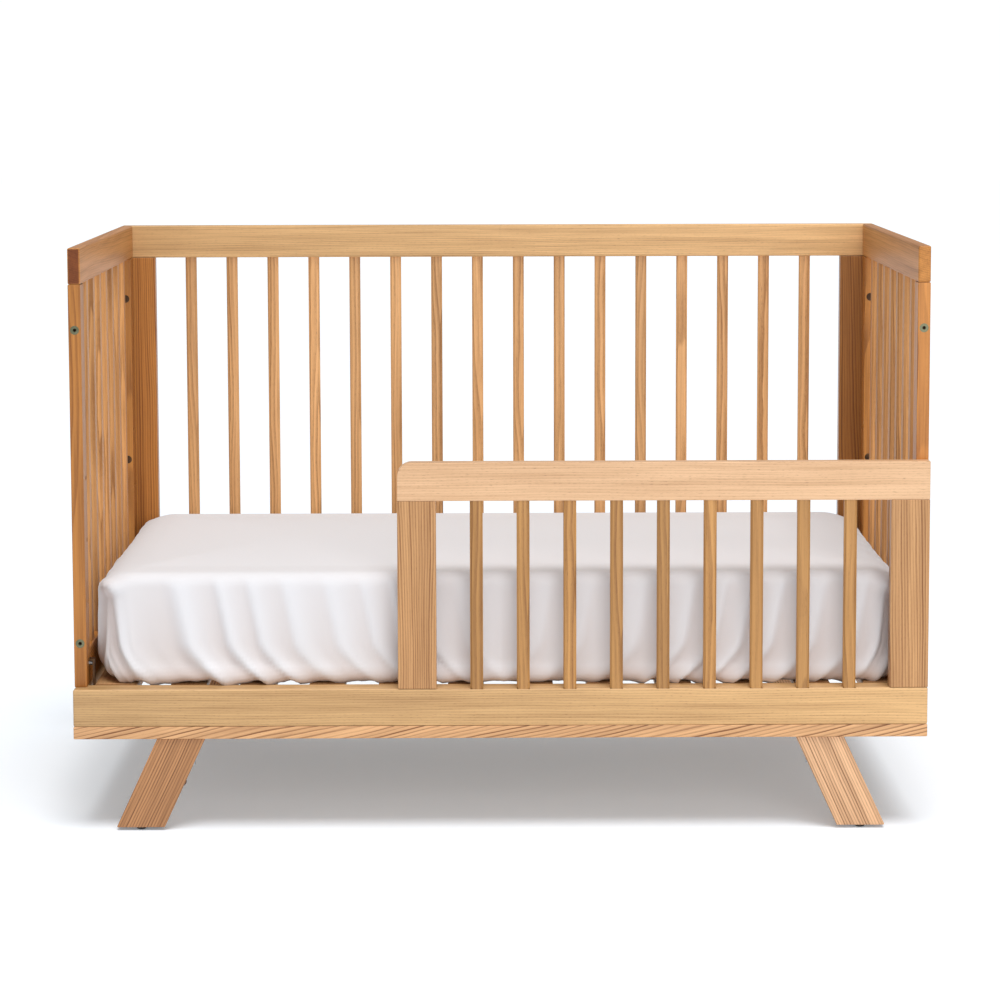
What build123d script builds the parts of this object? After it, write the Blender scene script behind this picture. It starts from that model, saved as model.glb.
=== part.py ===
from build123d import *
import os
from math import cos, radians, tan

# A wooden baby crib set up as a toddler bed: a base frame on four splayed legs, two slatted end
# panels, a slatted back panel, a half-length guard rail at the front, a height-adjustable
# slatted mattress support, and a mattress in a fitted sheet.
# Millimetres. X runs along the crib to the right, Y from the front to the back, Z up.
# The origin is on the floor, under the middle of the crib.

# ---- Overall sizes ----
LENGTH = 1365.0  # over the outer faces of the two end panels
END_DEPTH = 711.0  # end panel, front edge to rear edge
LEG_STAND = 150.0  # floor to the underside of the plinth
PLINTH_H = 20.0
BASE_H = 60.0  # height of the base rails above the plinth
STILE_H = 646.0  # base rails to the cap rails
CAP_H = 58.0

# ---- Base and legs ----
BASE_RAIL_D = 42.0  # front and rear base rails, front to back
BASE_ROUND = 3.0
PLINTH_D = 60.0
LEG_W = 70.0  # leg board, square across its length
LEG_T = 28.0
LEG_SPLAY = 24.8  # degrees from upright, feet outwards
LEG_TOE = 66.0  # end of the crib to the outer corner of a foot
LEG_SET_IN = 4.0  # plinth edge to the face of a leg
GLIDE_H = 5.0
GLIDE_R = 8.0
GLIDE_FLAT_R = 5.0
GLIDE_NAIL_R = 1.5
GLIDE_NAIL_L = 16.0
EDGE_PLUG_R = 4.5
EDGE_PLUG_PROUD = 2.0
EDGE_PLUG_L = 12.0
EDGE_PLUG_Z = 75.0  # floor to the plug in the front left leg

# ---- End panels ----
BOARD_T = 20.0  # end panel boards and base side rails
STILE_W = 40.0
END_RAIL_H = 58.0
END_SLATS = 7
END_SLAT_W = 28.0
END_SLAT_T = 13.0

# ---- Back panel ----
BACK_T = 23.0
BACK_STILE_W = 60.0
BACK_FOOT_H = 60.0
BACK_SLATS = 16
BACK_SLAT_W = 20.0
BACK_SLAT_T = 13.0

# ---- Guard rail ----
GUARD_L = 846.0
GUARD_T = 23.0
GUARD_H = 364.0  # above the base rail
GUARD_RAIL_H = 61.5
GUARD_POST_W = 61.5
GUARD_CORNER_R = 23.0
GUARD_SLATS = 9
GUARD_SLAT_W = 20.5
GUARD_SLAT_T = 15.0
GUARD_SLAT_SET = 1.0  # guard face to slat face

# ---- Mattress support ----
DECK_SLATS = 12
DECK_SLAT_W = 57.5
DECK_END_SLAT_W = 68.0
DECK_SLAT_T = 12.0
DECK_END_GAP = 9.5  # platform to the inner face of an end panel
DECK_SIDE_GAP = 3.0  # platform to the front and rear base rails
RUNNER_T = 18.0
RUNNER_SET_IN = 21.0  # slat end to the face of a runner
RUNNER_SHORT = 6.0  # slat frame end to runner end
HANGER_T = 3.0
HANGER_W = 16.0
HANGER_FOOT = 55.0
PIN_R = 4.0
PIN_CLEAR = 1.0  # end of a pin to the upright of its hanger
PIN_DEPTH = 12.0
PIN_HOLES = 4  # heights that the mattress support can be set to
PIN_PITCH = 100.0

# ---- Mattress and sheet ----
MATTRESS_H = 184.0
MATTRESS_PLAN_R = 62.0
MATTRESS_TOP_R = 28.0
MATTRESS_FOOT_R = 12.0
MATTRESS_END_GAP = 13.5  # end panel to the end of the mattress
MATTRESS_FRONT_GAP = 4.0  # front base rail to the face of the mattress
MATTRESS_REAR_GAP = 8.0  # back panel to the rear of the mattress
SHEET_T = 1.0
SHEET_HEM = 55.0  # width of sheet tucked under the mattress
SOFT_GAP = 0.3  # soft pieces to what they rest on

# ---- Joinery ----
EASE = 1.5  # rounding on the edges of rails, stiles and posts
SLAT_CHAMFER = 3.5
TENON = 10.0  # how far a slat end goes into a rail
MORTISE_GAP = 0.5  # beyond the end of a tenon
FIT = 0.1  # round and square holes over what they hold
END_FIT = 0.5  # hole bottom beyond the end of what it holds
DOWEL_R = 4.0
DOWEL_L = 40.0
DOWEL_SPACING = 20.0
STUD_R = 4.0
STUD_L = 90.0
STUD_SPACING = 34.0
EDGE_DOWEL_SPACING = 18.0  # bottom rail dowels, which pass above a stile's foot dowels
DOWEL_GAP = 1.5  # end of one dowel to the side of another
BASE_DOWEL_SPACING = 16.0
BOLT_R = 3.0
BOLT_HEAD_R = 7.0
BOLT_HEAD_T = 3.5
HEX_AF = 6.0
HEX_DEPTH = 2.4
INSERT_R = 5.0
INSERT_L = 15.0
INSERT_BORE_R = 2.5
FLANGE_T = 1.5
BARREL_R = 5.0
BARREL_L = 14.0
SLEEVE_R = 4.5
SLEEVE_L = 14.0
SCREW_R = 2.0
SCREW_HEAD_R = 4.0
SCREW_HEAD_T = 2.5
SCREW_L = 32.0
PANEL_BOLT_HEIGHTS = (804.0, 512.0, 301.0)
FRONT_INSERT_HEIGHTS = (804.0, 301.0)
GUARD_BOLT_HEIGHTS = (432.0, 348.0)
GUARD_FOOT_BOLT_RISE = 34.0  # base rail to the end of the bolt that enters a post from below
GUARD_FOOT_BOLT_IN = 41.0  # end of the crib to the bolt under the right post
PLINTH_SCREW_PITCH = 227.0

# ---- Planes that the parts share ----
DEPTH = GUARD_T + END_DEPTH + BACK_T
Y_FRONT = -DEPTH / 2
Y_END = Y_FRONT + GUARD_T  # front edge of the end panels
Y_BACK = Y_END + END_DEPTH  # rear edge of the end panels
Y_REAR = DEPTH / 2
RUNNER_H = BASE_H - DECK_SLAT_T  # runners end level with the underside of the base rails
BASE_DOWEL_RISE = (BASE_H - DOWEL_L / 2) / 2  # centred below the dowels of the stiles
EDGE_DOWEL_RISE = DOWEL_L / 2 + DOWEL_GAP + DOWEL_R + EDGE_DOWEL_SPACING / 2  # above the same dowels
HANGER_RISE = EDGE_DOWEL_RISE + PIN_R + SOFT_GAP  # a pin lies between two edge dowels
X_OUT = LENGTH / 2
X_IN = X_OUT - BOARD_T
Z_BASE = LEG_STAND + PLINTH_H
Z_DECK = Z_BASE + BASE_H
Z_CAP = Z_DECK + STILE_H
Z_TOP = Z_CAP + CAP_H
SIDES = {"left": -1, "right": 1}
ENDS = {"front": -1, "rear": 1}

parts = {}  # one solid to a node
groups = {}  # several like solids to a node


def pair(side, near, far):
    """The low and high ends of a span that lies near to far from the middle, on one side."""
    return (near, far) if side > 0 else (-far, -near)


def block(x, y, z):
    """A plain box between the low and high ends given for each axis."""
    size = [high - low for low, high in (x, y, z)]
    middle = [(high + low) / 2 for low, high in (x, y, z)]
    return Pos(*middle) * Box(*size)


def eased(x, y, z, radius=EASE):
    """A board with all its edges rounded."""
    solid = block(x, y, z)
    return fillet(solid.edges(), radius)


def slat(x, y, z, along=Axis.Z):
    """A slat with its four long edges chamfered."""
    solid = block(x, y, z)
    return chamfer(solid.edges().filter_by(along), SLAT_CHAMFER)


def along_z(origin, direction, across=None):
    """The place whose local Z is the given direction, and local X is across it."""
    return Plane(origin=origin, x_dir=across, z_dir=direction).location


def rod(radius, length):
    """A cylinder from the local origin up."""
    return Pos(0, 0, length / 2) * Cylinder(radius, length)


def hex_socket(depth):
    """A hexagonal recess from the local origin up."""
    return extrude(RegularPolygon(HEX_AF / 2, 6, major_radius=False), depth)


def fix(group, node_names, shape, hole, origin, direction, across=None):
    """Puts one fixing in its group and bores its hole in each board that it holds."""
    place = along_z(origin, direction, across)
    groups.setdefault(group, []).append(place * shape)
    cutter = place * hole
    for name in node_names:
        parts[name] = parts[name] - cutter


def drill(node_names, hole, origin, direction):
    """Bores an empty hole."""
    cutter = along_z(origin, direction) * hole
    for name in node_names:
        parts[name] = parts[name] - cutter


# ---- Fixings: each is a shape and its hole, both along local Z from the local origin ----
def dowel():
    """A plain wooden dowel, centred on the joint."""
    shape = Pos(0, 0, -DOWEL_L / 2) * rod(DOWEL_R, DOWEL_L)
    hole = Pos(0, 0, -DOWEL_L / 2 - END_FIT) * rod(DOWEL_R + FIT, DOWEL_L + 2 * END_FIT)
    return shape, hole


def stud():
    """A hanger bolt, centred on the joint between a leg and what is above it."""
    shape = Pos(0, 0, -STUD_L / 2) * rod(STUD_R, STUD_L)
    hole = Pos(0, 0, -STUD_L / 2 - END_FIT) * rod(STUD_R + FIT, STUD_L + 2 * END_FIT)
    return shape, hole


def socket_bolt(length):
    """A bolt with a flat round head and a hexagon socket, its head flush at the origin."""
    shape = rod(BOLT_HEAD_R, BOLT_HEAD_T) + rod(BOLT_R, length) - hex_socket(HEX_DEPTH)
    hole = rod(BOLT_HEAD_R + FIT, BOLT_HEAD_T) + rod(BOLT_R + FIT, length + END_FIT)
    return shape, hole


def wood_screw(length):
    """A countersunk screw, its head flush at the origin."""
    head = Pos(0, 0, SCREW_HEAD_T / 2) * Cone(SCREW_HEAD_R, SCREW_R, SCREW_HEAD_T)
    sink = Pos(0, 0, SCREW_HEAD_T / 2) * Cone(SCREW_HEAD_R + FIT, SCREW_R + FIT, SCREW_HEAD_T)
    shape = head + rod(SCREW_R, length)
    hole = sink + rod(SCREW_R + FIT, length + END_FIT)
    return shape, hole


def insert_nut():
    """A threaded insert with a flange and a hexagon drive, its flange flush at the origin."""
    body = rod(BOLT_HEAD_R, FLANGE_T) + rod(INSERT_R, INSERT_L)
    shape = body - rod(INSERT_BORE_R, INSERT_L) - hex_socket(HEX_DEPTH)
    hole = rod(BOLT_HEAD_R + FIT, FLANGE_T) + rod(INSERT_R + FIT, INSERT_L + END_FIT)
    return shape, hole


def barrel_nut():
    """A cross dowel: its axis is local Z, and its thread runs along local X half way up."""
    cross = Pos(0, 0, BARREL_L / 2) * Rot(Y=90) * Cylinder(BOLT_R + FIT, 3 * BARREL_R)
    shape = rod(BARREL_R, BARREL_L) - cross
    hole = rod(BARREL_R + FIT, BARREL_L + END_FIT)
    return shape, hole


def sleeve_nut():
    """A plain threaded sleeve that takes the end of a panel bolt, from the origin up."""
    shape = rod(SLEEVE_R, SLEEVE_L) - rod(BOLT_R + FIT, SLEEVE_L)
    hole = rod(SLEEVE_R + FIT, SLEEVE_L + END_FIT)
    return shape, hole


def glide():
    """A domed nail-in foot: the floor is the local origin, the nail points up."""
    dome_r = GLIDE_R - GLIDE_FLAT_R
    outline = Polyline((0, 0), (GLIDE_FLAT_R, 0)) + Line((GLIDE_R, dome_r), (GLIDE_R, GLIDE_H))
    outline += CenterArc((GLIDE_FLAT_R, dome_r), dome_r, -90, 90)
    outline += Polyline((GLIDE_R, GLIDE_H), (0, GLIDE_H), (0, 0))
    dome = revolve(Plane.XZ * make_face(outline), Axis.Z)
    nail_top = GLIDE_H + GLIDE_NAIL_L
    shape = dome + rod(GLIDE_NAIL_R, nail_top)
    hole = rod(GLIDE_NAIL_R + FIT, nail_top + END_FIT)
    return shape, hole


def edge_plug():
    """A domed plug over a screw hole, the leg's edge being the local origin."""
    head = scale(Sphere(EDGE_PLUG_R), by=(1, 1, EDGE_PLUG_PROUD / EDGE_PLUG_R))
    head = split(head, Plane.XY, keep=Keep.BOTTOM)
    shape = head + rod(EDGE_PLUG_R / 2, EDGE_PLUG_L)
    hole = rod(EDGE_PLUG_R / 2 + FIT, EDGE_PLUG_L + END_FIT)
    return shape, hole


# ---- Base frame ----
def base_frame():
    """Four base rails on four plinth boards."""
    for end, way in ENDS.items():
        rail_y = pair(way, Y_REAR - BASE_RAIL_D, Y_REAR)
        plinth_y = pair(way, Y_REAR - PLINTH_D, Y_REAR)
        span_x = (-X_OUT, X_OUT)
        parts[f"base_{end}_rail"] = eased(span_x, rail_y, (Z_BASE, Z_DECK), BASE_ROUND)
        parts[f"plinth_{end}_board"] = eased(span_x, plinth_y, (LEG_STAND, Z_BASE))
    for name, side in SIDES.items():
        rail_y = (Y_FRONT + BASE_RAIL_D, Y_REAR - BASE_RAIL_D)
        plinth_y = (Y_FRONT + PLINTH_D, Y_REAR - PLINTH_D)
        rail_x = pair(side, X_IN, X_OUT)
        plinth_x = pair(side, X_OUT - PLINTH_D, X_OUT)
        parts[f"base_{name}_rail"] = eased(rail_x, rail_y, (Z_BASE, Z_DECK))
        parts[f"plinth_{name}_board"] = eased(plinth_x, plinth_y, (LEG_STAND, Z_BASE))
    shape, hole = dowel()
    for name, side in SIDES.items():
        for end, way in ENDS.items():
            for step in (-1, 1):
                rail_at = (
                    side * (X_OUT - BOARD_T / 2),
                    way * (Y_REAR - BASE_RAIL_D),
                    Z_BASE + BASE_DOWEL_RISE + step * BASE_DOWEL_SPACING / 2,
                )
                rails = (f"base_{name}_rail", f"base_{end}_rail")
                fix("base_dowels", rails, shape, hole, rail_at, (0, 1, 0))
                plinth_at = (
                    side * (X_OUT - PLINTH_D / 2 + step * DOWEL_SPACING / 2),
                    way * (Y_REAR - PLINTH_D),
                    LEG_STAND + PLINTH_H / 2,
                )
                boards = (f"plinth_{name}_board", f"plinth_{end}_board")
                fix("base_dowels", boards, shape, hole, plinth_at, (0, 1, 0))


def plinth_screws():
    """Screws up through the plinth into the base rails."""
    shape, hole = wood_screw(SCREW_L)
    for end, way in ENDS.items():
        for step in (-2, -1, 0, 1, 2):
            at = (step * PLINTH_SCREW_PITCH, way * (Y_REAR - BASE_RAIL_D / 2), LEG_STAND)
            boards = (f"plinth_{end}_board", f"base_{end}_rail")
            fix("plinth_screws", boards, shape, hole, at, (0, 0, 1))
    for name, side in SIDES.items():
        for step in (-1, 0, 1):
            at = (side * (X_OUT - BOARD_T / 2), step * END_DEPTH / 4, LEG_STAND)
            boards = (f"plinth_{name}_board", f"base_{name}_rail")
            fix("plinth_screws", boards, shape, hole, at, (0, 0, 1))


def legs():
    """Four splayed leg boards with their hanger bolts, glides and edge plug."""
    lean = tan(radians(LEG_SPLAY))
    width = LEG_W / cos(radians(LEG_SPLAY))
    rise = (LEG_STAND - GLIDE_H) * lean
    foot = X_OUT - LEG_TOE
    top_middle = foot - rise - width / 2
    foot_middle = foot - width / 2
    stud_shape, stud_hole = stud()
    glide_shape, glide_hole = glide()
    for name, side in SIDES.items():
        corners = [
            (side * foot, GLIDE_H),
            (side * (foot - rise), LEG_STAND),
            (side * (foot - rise - width), LEG_STAND),
            (side * (foot - width), GLIDE_H),
        ]
        for end, way in ENDS.items():
            low, high = pair(way, Y_REAR - LEG_SET_IN - LEG_T, Y_REAR - LEG_SET_IN)
            outline = Polyline(*[(x, low, z) for x, z in corners], close=True)
            leg = extrude(make_face(outline), high - low, dir=(0, 1, 0))
            node = f"leg_{end}_{name}"
            parts[node] = fillet(leg.edges(), EASE)
            middle = (low + high) / 2
            for step in (-1, 1):
                at = (side * top_middle + step * STUD_SPACING / 2, middle, LEG_STAND)
                held = (node, f"plinth_{end}_board", f"base_{end}_rail")
                fix("leg_hanger_bolts", held, stud_shape, stud_hole, at, (0, 0, 1))
            at = (side * foot_middle, middle, 0)
            fix("glide_feet", (node,), glide_shape, glide_hole, at, (0, 0, 1))
    edge_x = foot - width - (EDGE_PLUG_Z - GLIDE_H) * lean
    middle = -(Y_REAR - LEG_SET_IN - LEG_T / 2)
    shape, hole = edge_plug()
    inwards = (-cos(radians(LEG_SPLAY)), 0, lean * cos(radians(LEG_SPLAY)))
    at = (-edge_x, middle, EDGE_PLUG_Z)
    fix("leg_edge_plug", ("leg_front_left",), shape, hole, at, inwards)


# ---- End panels ----
def end_panels():
    """Stiles, cap rail, bottom rail and slats of each end panel."""
    opening = END_DEPTH - 2 * STILE_W
    gap = (opening - END_SLATS * END_SLAT_W) / (END_SLATS + 1)
    slat_z = (Z_DECK + END_RAIL_H - TENON, Z_CAP + TENON)
    for name, side in SIDES.items():
        board_x = pair(side, X_IN, X_OUT)
        inset = (BOARD_T - END_SLAT_T) / 2
        slat_x = pair(side, X_IN + inset, X_OUT - inset)
        rail_y = (Y_END + STILE_W, Y_BACK - STILE_W)
        cap = eased(board_x, (Y_END, Y_BACK), (Z_CAP, Z_TOP), BASE_ROUND)
        foot_rail = eased(board_x, rail_y, (Z_DECK, Z_DECK + END_RAIL_H))
        parts[f"{name}_front_stile"] = eased(board_x, (Y_END, Y_END + STILE_W), (Z_DECK, Z_CAP))
        parts[f"{name}_rear_stile"] = eased(board_x, (Y_BACK - STILE_W, Y_BACK), (Z_DECK, Z_CAP))
        slats = []
        for number in range(END_SLATS):
            start = rail_y[0] + gap + number * (END_SLAT_W + gap)
            slats.append(slat(slat_x, (start, start + END_SLAT_W), slat_z))
            socket = block(
                (slat_x[0] - FIT, slat_x[1] + FIT),
                (start - FIT, start + END_SLAT_W + FIT),
                (slat_z[0] - MORTISE_GAP, slat_z[1] + MORTISE_GAP),
            )
            cap -= socket
            foot_rail -= socket
        parts[f"{name}_cap_rail"] = cap
        parts[f"{name}_bottom_rail"] = foot_rail
        groups[f"{name}_end_slats"] = slats


def end_dowels():
    """Dowels that hold each end panel together and to the base."""
    shape, hole = dowel()
    for name, side in SIDES.items():
        x = side * (X_OUT - BOARD_T / 2)
        for end, way in ENDS.items():
            stile = f"{name}_{end}_stile"
            middle = (Y_END + Y_BACK) / 2 + way * (END_DEPTH - STILE_W) / 2
            for step in (-1, 1):
                y = middle + step * DOWEL_SPACING / 2
                top = (stile, f"{name}_cap_rail")
                fix("end_panel_dowels", top, shape, hole, (x, y, Z_CAP), (0, 0, 1))
                base = (stile, f"base_{name}_rail", f"base_{end}_rail")
                fix("end_panel_dowels", base, shape, hole, (x, y, Z_DECK), (0, 0, 1))
                edge_y = middle - way * STILE_W / 2
                z = Z_DECK + EDGE_DOWEL_RISE + step * EDGE_DOWEL_SPACING / 2
                foot = (stile, f"{name}_bottom_rail")
                fix("end_panel_dowels", foot, shape, hole, (x, edge_y, z), (0, 1, 0))


def front_inserts():
    """Threaded inserts in the front edges of the front stiles, for the crib's front side."""
    shape, hole = insert_nut()
    for name, side in SIDES.items():
        for height in FRONT_INSERT_HEIGHTS:
            at = (side * (X_OUT - BOARD_T / 2), Y_END, height)
            fix("front_inserts", (f"{name}_front_stile",), shape, hole, at, (0, 1, 0))


# ---- Back panel ----
def back_panel():
    """The back panel's rails, stiles and slats, and the bolts that hold it."""
    panel_y = (Y_BACK, Y_REAR)
    inner = X_OUT - BACK_STILE_W
    gap = (2 * inner - BACK_SLATS * BACK_SLAT_W) / (BACK_SLATS + 1)
    top = eased((-X_OUT, X_OUT), panel_y, (Z_CAP, Z_TOP), BASE_ROUND)
    foot = eased((-inner, inner), panel_y, (Z_DECK, Z_DECK + BACK_FOOT_H))
    inset = (BACK_T - BACK_SLAT_T) / 2
    slat_y = (Y_BACK + inset, Y_REAR - inset)
    slat_z = (Z_DECK + BACK_FOOT_H - TENON, Z_CAP + TENON)
    slats = []
    for number in range(BACK_SLATS):
        start = -inner + gap + number * (BACK_SLAT_W + gap)
        slats.append(slat((start, start + BACK_SLAT_W), slat_y, slat_z))
        socket = block(
            (start - FIT, start + BACK_SLAT_W + FIT),
            (slat_y[0] - FIT, slat_y[1] + FIT),
            (slat_z[0] - MORTISE_GAP, slat_z[1] + MORTISE_GAP),
        )
        top -= socket
        foot -= socket
    parts["back_top_rail"] = top
    parts["back_bottom_rail"] = foot
    groups["back_slats"] = slats
    shape, hole = dowel()
    middle = (Y_BACK + Y_REAR) / 2
    for name, side in SIDES.items():
        stile = f"back_{name}_stile"
        parts[stile] = eased(pair(side, inner, X_OUT), panel_y, (Z_DECK, Z_CAP))
        for step in (-1, 1):
            x = side * (X_OUT - BACK_STILE_W / 2 + step * DOWEL_SPACING / 2)
            head = (stile, "back_top_rail")
            fix("back_panel_dowels", head, shape, hole, (x, middle, Z_CAP), (0, 0, 1))
            base = (stile, "base_rear_rail")
            fix("back_panel_dowels", base, shape, hole, (x, middle, Z_DECK), (0, 0, 1))
            z = Z_DECK + EDGE_DOWEL_RISE + step * EDGE_DOWEL_SPACING / 2
            joint = (stile, "back_bottom_rail")
            fix("back_panel_dowels", joint, shape, hole, (side * inner, middle, z), (1, 0, 0))


def back_bolts():
    """Bolts through the rear stiles into sleeve nuts in the back panel."""
    bolt_shape, bolt_hole = socket_bolt(STILE_W + SLEEVE_L)
    nut_shape, nut_hole = sleeve_nut()
    for name, side in SIDES.items():
        for height in PANEL_BOLT_HEIGHTS:
            x = side * (X_OUT - BOARD_T / 2)
            back = (f"back_{name}_stile",)
            fix("back_panel_nuts", back, nut_shape, nut_hole, (x, Y_BACK, height), (0, 1, 0))
            at = (x, Y_BACK - STILE_W, height)
            stile = (f"{name}_rear_stile",)
            fix("back_panel_bolts", stile, bolt_shape, bolt_hole, at, (0, 1, 0))


# ---- Guard rail ----
def guard_rail():
    """The toddler guard: a top rail with one rounded corner, two posts and slats."""
    left = X_OUT - GUARD_L
    guard_y = (Y_FRONT, Y_END)
    z_rail = Z_DECK + GUARD_H - GUARD_RAIL_H
    rail = block((left, X_OUT), guard_y, (z_rail, Z_DECK + GUARD_H))
    corner = rail.edges().filter_by(Axis.Y).group_by(Axis.X)[0].sort_by(Axis.Z)[-1]
    rail = fillet(corner, GUARD_CORNER_R)
    rail = fillet(rail.edges(), EASE)
    opening = GUARD_L - 2 * GUARD_POST_W
    gap = (opening - GUARD_SLATS * GUARD_SLAT_W) / (GUARD_SLATS + 1)
    slat_y = (Y_FRONT + GUARD_SLAT_SET, Y_FRONT + GUARD_SLAT_SET + GUARD_SLAT_T)
    base = parts["base_front_rail"]
    slats = []
    for number in range(GUARD_SLATS):
        start = left + GUARD_POST_W + gap + number * (GUARD_SLAT_W + gap)
        slat_z = (Z_DECK - TENON, z_rail + TENON)
        slats.append(slat((start, start + GUARD_SLAT_W), slat_y, slat_z))
        socket = block(
            (start - FIT, start + GUARD_SLAT_W + FIT),
            (slat_y[0] - FIT, slat_y[1] + FIT),
            (slat_z[0] - MORTISE_GAP, slat_z[1] + MORTISE_GAP),
        )
        rail -= socket
        base -= socket
    parts["guard_top_rail"] = rail
    parts["base_front_rail"] = base
    groups["guard_slats"] = slats
    shape, hole = dowel()
    for name, start in (("left", left), ("right", X_OUT - GUARD_POST_W)):
        post = f"guard_{name}_post"
        parts[post] = eased((start, start + GUARD_POST_W), guard_y, (Z_DECK, z_rail))
        for step in (-1, 1):
            x = start + GUARD_POST_W / 2 + step * DOWEL_SPACING / 2
            at = (x, Y_FRONT + GUARD_T / 2, z_rail)
            fix("guard_dowels", (post, "guard_top_rail"), shape, hole, at, (0, 0, 1))


def guard_bolts():
    """Bolts that hold the guard to the right front stile and to the front base rail."""
    barrel_shape, barrel_hole = barrel_nut()
    side_shape, side_hole = socket_bolt(STILE_W + GUARD_T / 2 + BARREL_R / 2)
    x_side = X_OUT - BOARD_T / 2
    y_barrel = Y_FRONT + GUARD_T / 2
    x_face = x_side + BARREL_L / 2
    post = ("guard_right_post",)
    for height in GUARD_BOLT_HEIGHTS:
        at = (x_face, y_barrel, height)
        fix("guard_barrel_nuts", post, barrel_shape, barrel_hole, at, (-1, 0, 0), (0, 1, 0))
        mouth = rod(BARREL_R + FIT, BOARD_T)
        drill(post, mouth, at, (1, 0, 0))
        at = (x_side, Y_END + STILE_W, height)
        held = ("right_front_stile", "guard_right_post")
        fix("guard_bolts", held, side_shape, side_hole, at, (0, -1, 0))
    foot_length = PLINTH_H + BASE_H + GUARD_FOOT_BOLT_RISE
    foot_shape, foot_hole = socket_bolt(foot_length)
    x_left = X_OUT - GUARD_L + GUARD_POST_W / 2
    for name, x in (("left", x_left), ("right", X_OUT - GUARD_FOOT_BOLT_IN)):
        node = f"guard_{name}_post"
        z_barrel = LEG_STAND + foot_length - BARREL_R / 2
        at = (x, y_barrel - BARREL_L / 2, z_barrel)
        fix("guard_barrel_nuts", (node,), barrel_shape, barrel_hole, at, (0, 1, 0), (0, 0, 1))
        drill((node,), rod(BARREL_R + FIT, GUARD_T), at, (0, 1, 0))
        held = (node, "base_front_rail", "plinth_front_board")
        at = (x, y_barrel, LEG_STAND)
        fix("guard_bolts", held, foot_shape, foot_hole, at, (0, 0, 1))


# ---- Mattress support ----
def mattress_support():
    """Slats on three runners, with a hanger at each corner that rests on a pin."""
    x_end = X_IN - DECK_END_GAP
    y_near = Y_FRONT + BASE_RAIL_D + DECK_SIDE_GAP
    y_far = Y_REAR - BASE_RAIL_D - DECK_SIDE_GAP
    z_runner = Z_DECK - DECK_SLAT_T
    inner = x_end - DECK_END_SLAT_W
    free = 2 * inner - (DECK_SLATS - 2) * DECK_SLAT_W
    gap = free / (DECK_SLATS - 1)
    starts = [(-x_end, DECK_END_SLAT_W)]
    for number in range(DECK_SLATS - 2):
        starts.append((-inner + gap + number * (DECK_SLAT_W + gap), DECK_SLAT_W))
    starts.append((inner, DECK_END_SLAT_W))
    runner_ys = {
        "front": y_near + RUNNER_SET_IN,
        "middle": (y_near + y_far - RUNNER_T) / 2,
        "rear": y_far - RUNNER_SET_IN - RUNNER_T,
    }
    runner_x = (-x_end + RUNNER_SHORT, x_end - RUNNER_SHORT)
    for name, y in runner_ys.items():
        span = (z_runner - RUNNER_H, z_runner)
        parts[f"support_{name}_runner"] = eased(runner_x, (y, y + RUNNER_T), span)
    shape, hole = wood_screw(SCREW_L)
    slats = []
    for start, width in starts:
        piece = eased((start, start + width), (y_near, y_far), (z_runner, Z_DECK))
        for name, y in runner_ys.items():
            at = (start + width / 2, y + RUNNER_T / 2, Z_DECK)
            runner = (f"support_{name}_runner",)
            fix("support_screws", runner, shape, hole, at, (0, 0, -1))
            piece -= along_z(at, (0, 0, -1)) * hole
        slats.append(piece)
    groups["support_slats"] = slats
    hangers(x_end, y_near, y_far, z_runner)


def hangers(x_end, y_near, y_far, z_runner):
    """Folded steel hangers under the end slats, and the pins in the stiles that carry them."""
    z_tongue = Z_DECK + HANGER_RISE
    proud = DECK_END_GAP - HANGER_T - PIN_CLEAR
    pin_shape = Pos(0, 0, -proud) * rod(PIN_R, PIN_DEPTH + proud)
    pin_hole = rod(PIN_R + FIT, PIN_DEPTH + END_FIT)
    groups["support_hangers"] = []
    for name, side in SIDES.items():
        for end, edge in (("front", y_near), ("rear", y_far - HANGER_W)):
            y = (edge, edge + HANGER_W)
            foot_x = pair(side, x_end - HANGER_FOOT, x_end + HANGER_T)
            web_x = pair(side, x_end, x_end + HANGER_T)
            tongue_x = pair(side, x_end, X_IN - SOFT_GAP)
            hanger = block(foot_x, y, (z_runner - HANGER_T, z_runner))
            hanger += block(web_x, y, (z_runner - HANGER_T, z_tongue))
            hanger += block(tongue_x, y, (z_tongue, z_tongue + HANGER_T))
            groups["support_hangers"].append(hanger)
            stile = (f"{name}_{end}_stile",)
            for step in range(PIN_HOLES):
                z_pin = z_tongue - SOFT_GAP - PIN_R + step * PIN_PITCH
                at = (side * X_IN, edge + HANGER_W / 2, z_pin)
                if step == 0:
                    fix("support_pins", stile, pin_shape, pin_hole, at, (side, 0, 0))
                else:
                    drill(stile, pin_hole, at, (side, 0, 0))


# ---- Mattress and fitted sheet ----
def pillow(x, y, z, plan_r, top_r, foot_r):
    """A block with rounded corners in plan, a soft top edge and a tighter bottom edge."""
    solid = fillet(block(x, y, z).edges().filter_by(Axis.Z), plan_r)
    solid = fillet(solid.faces().sort_by(Axis.Z)[-1].edges(), top_r)
    return fillet(solid.faces().sort_by(Axis.Z)[0].edges(), foot_r)


def grown(span, by):
    """A low and high pair moved apart."""
    return (span[0] - by, span[1] + by)


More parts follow.
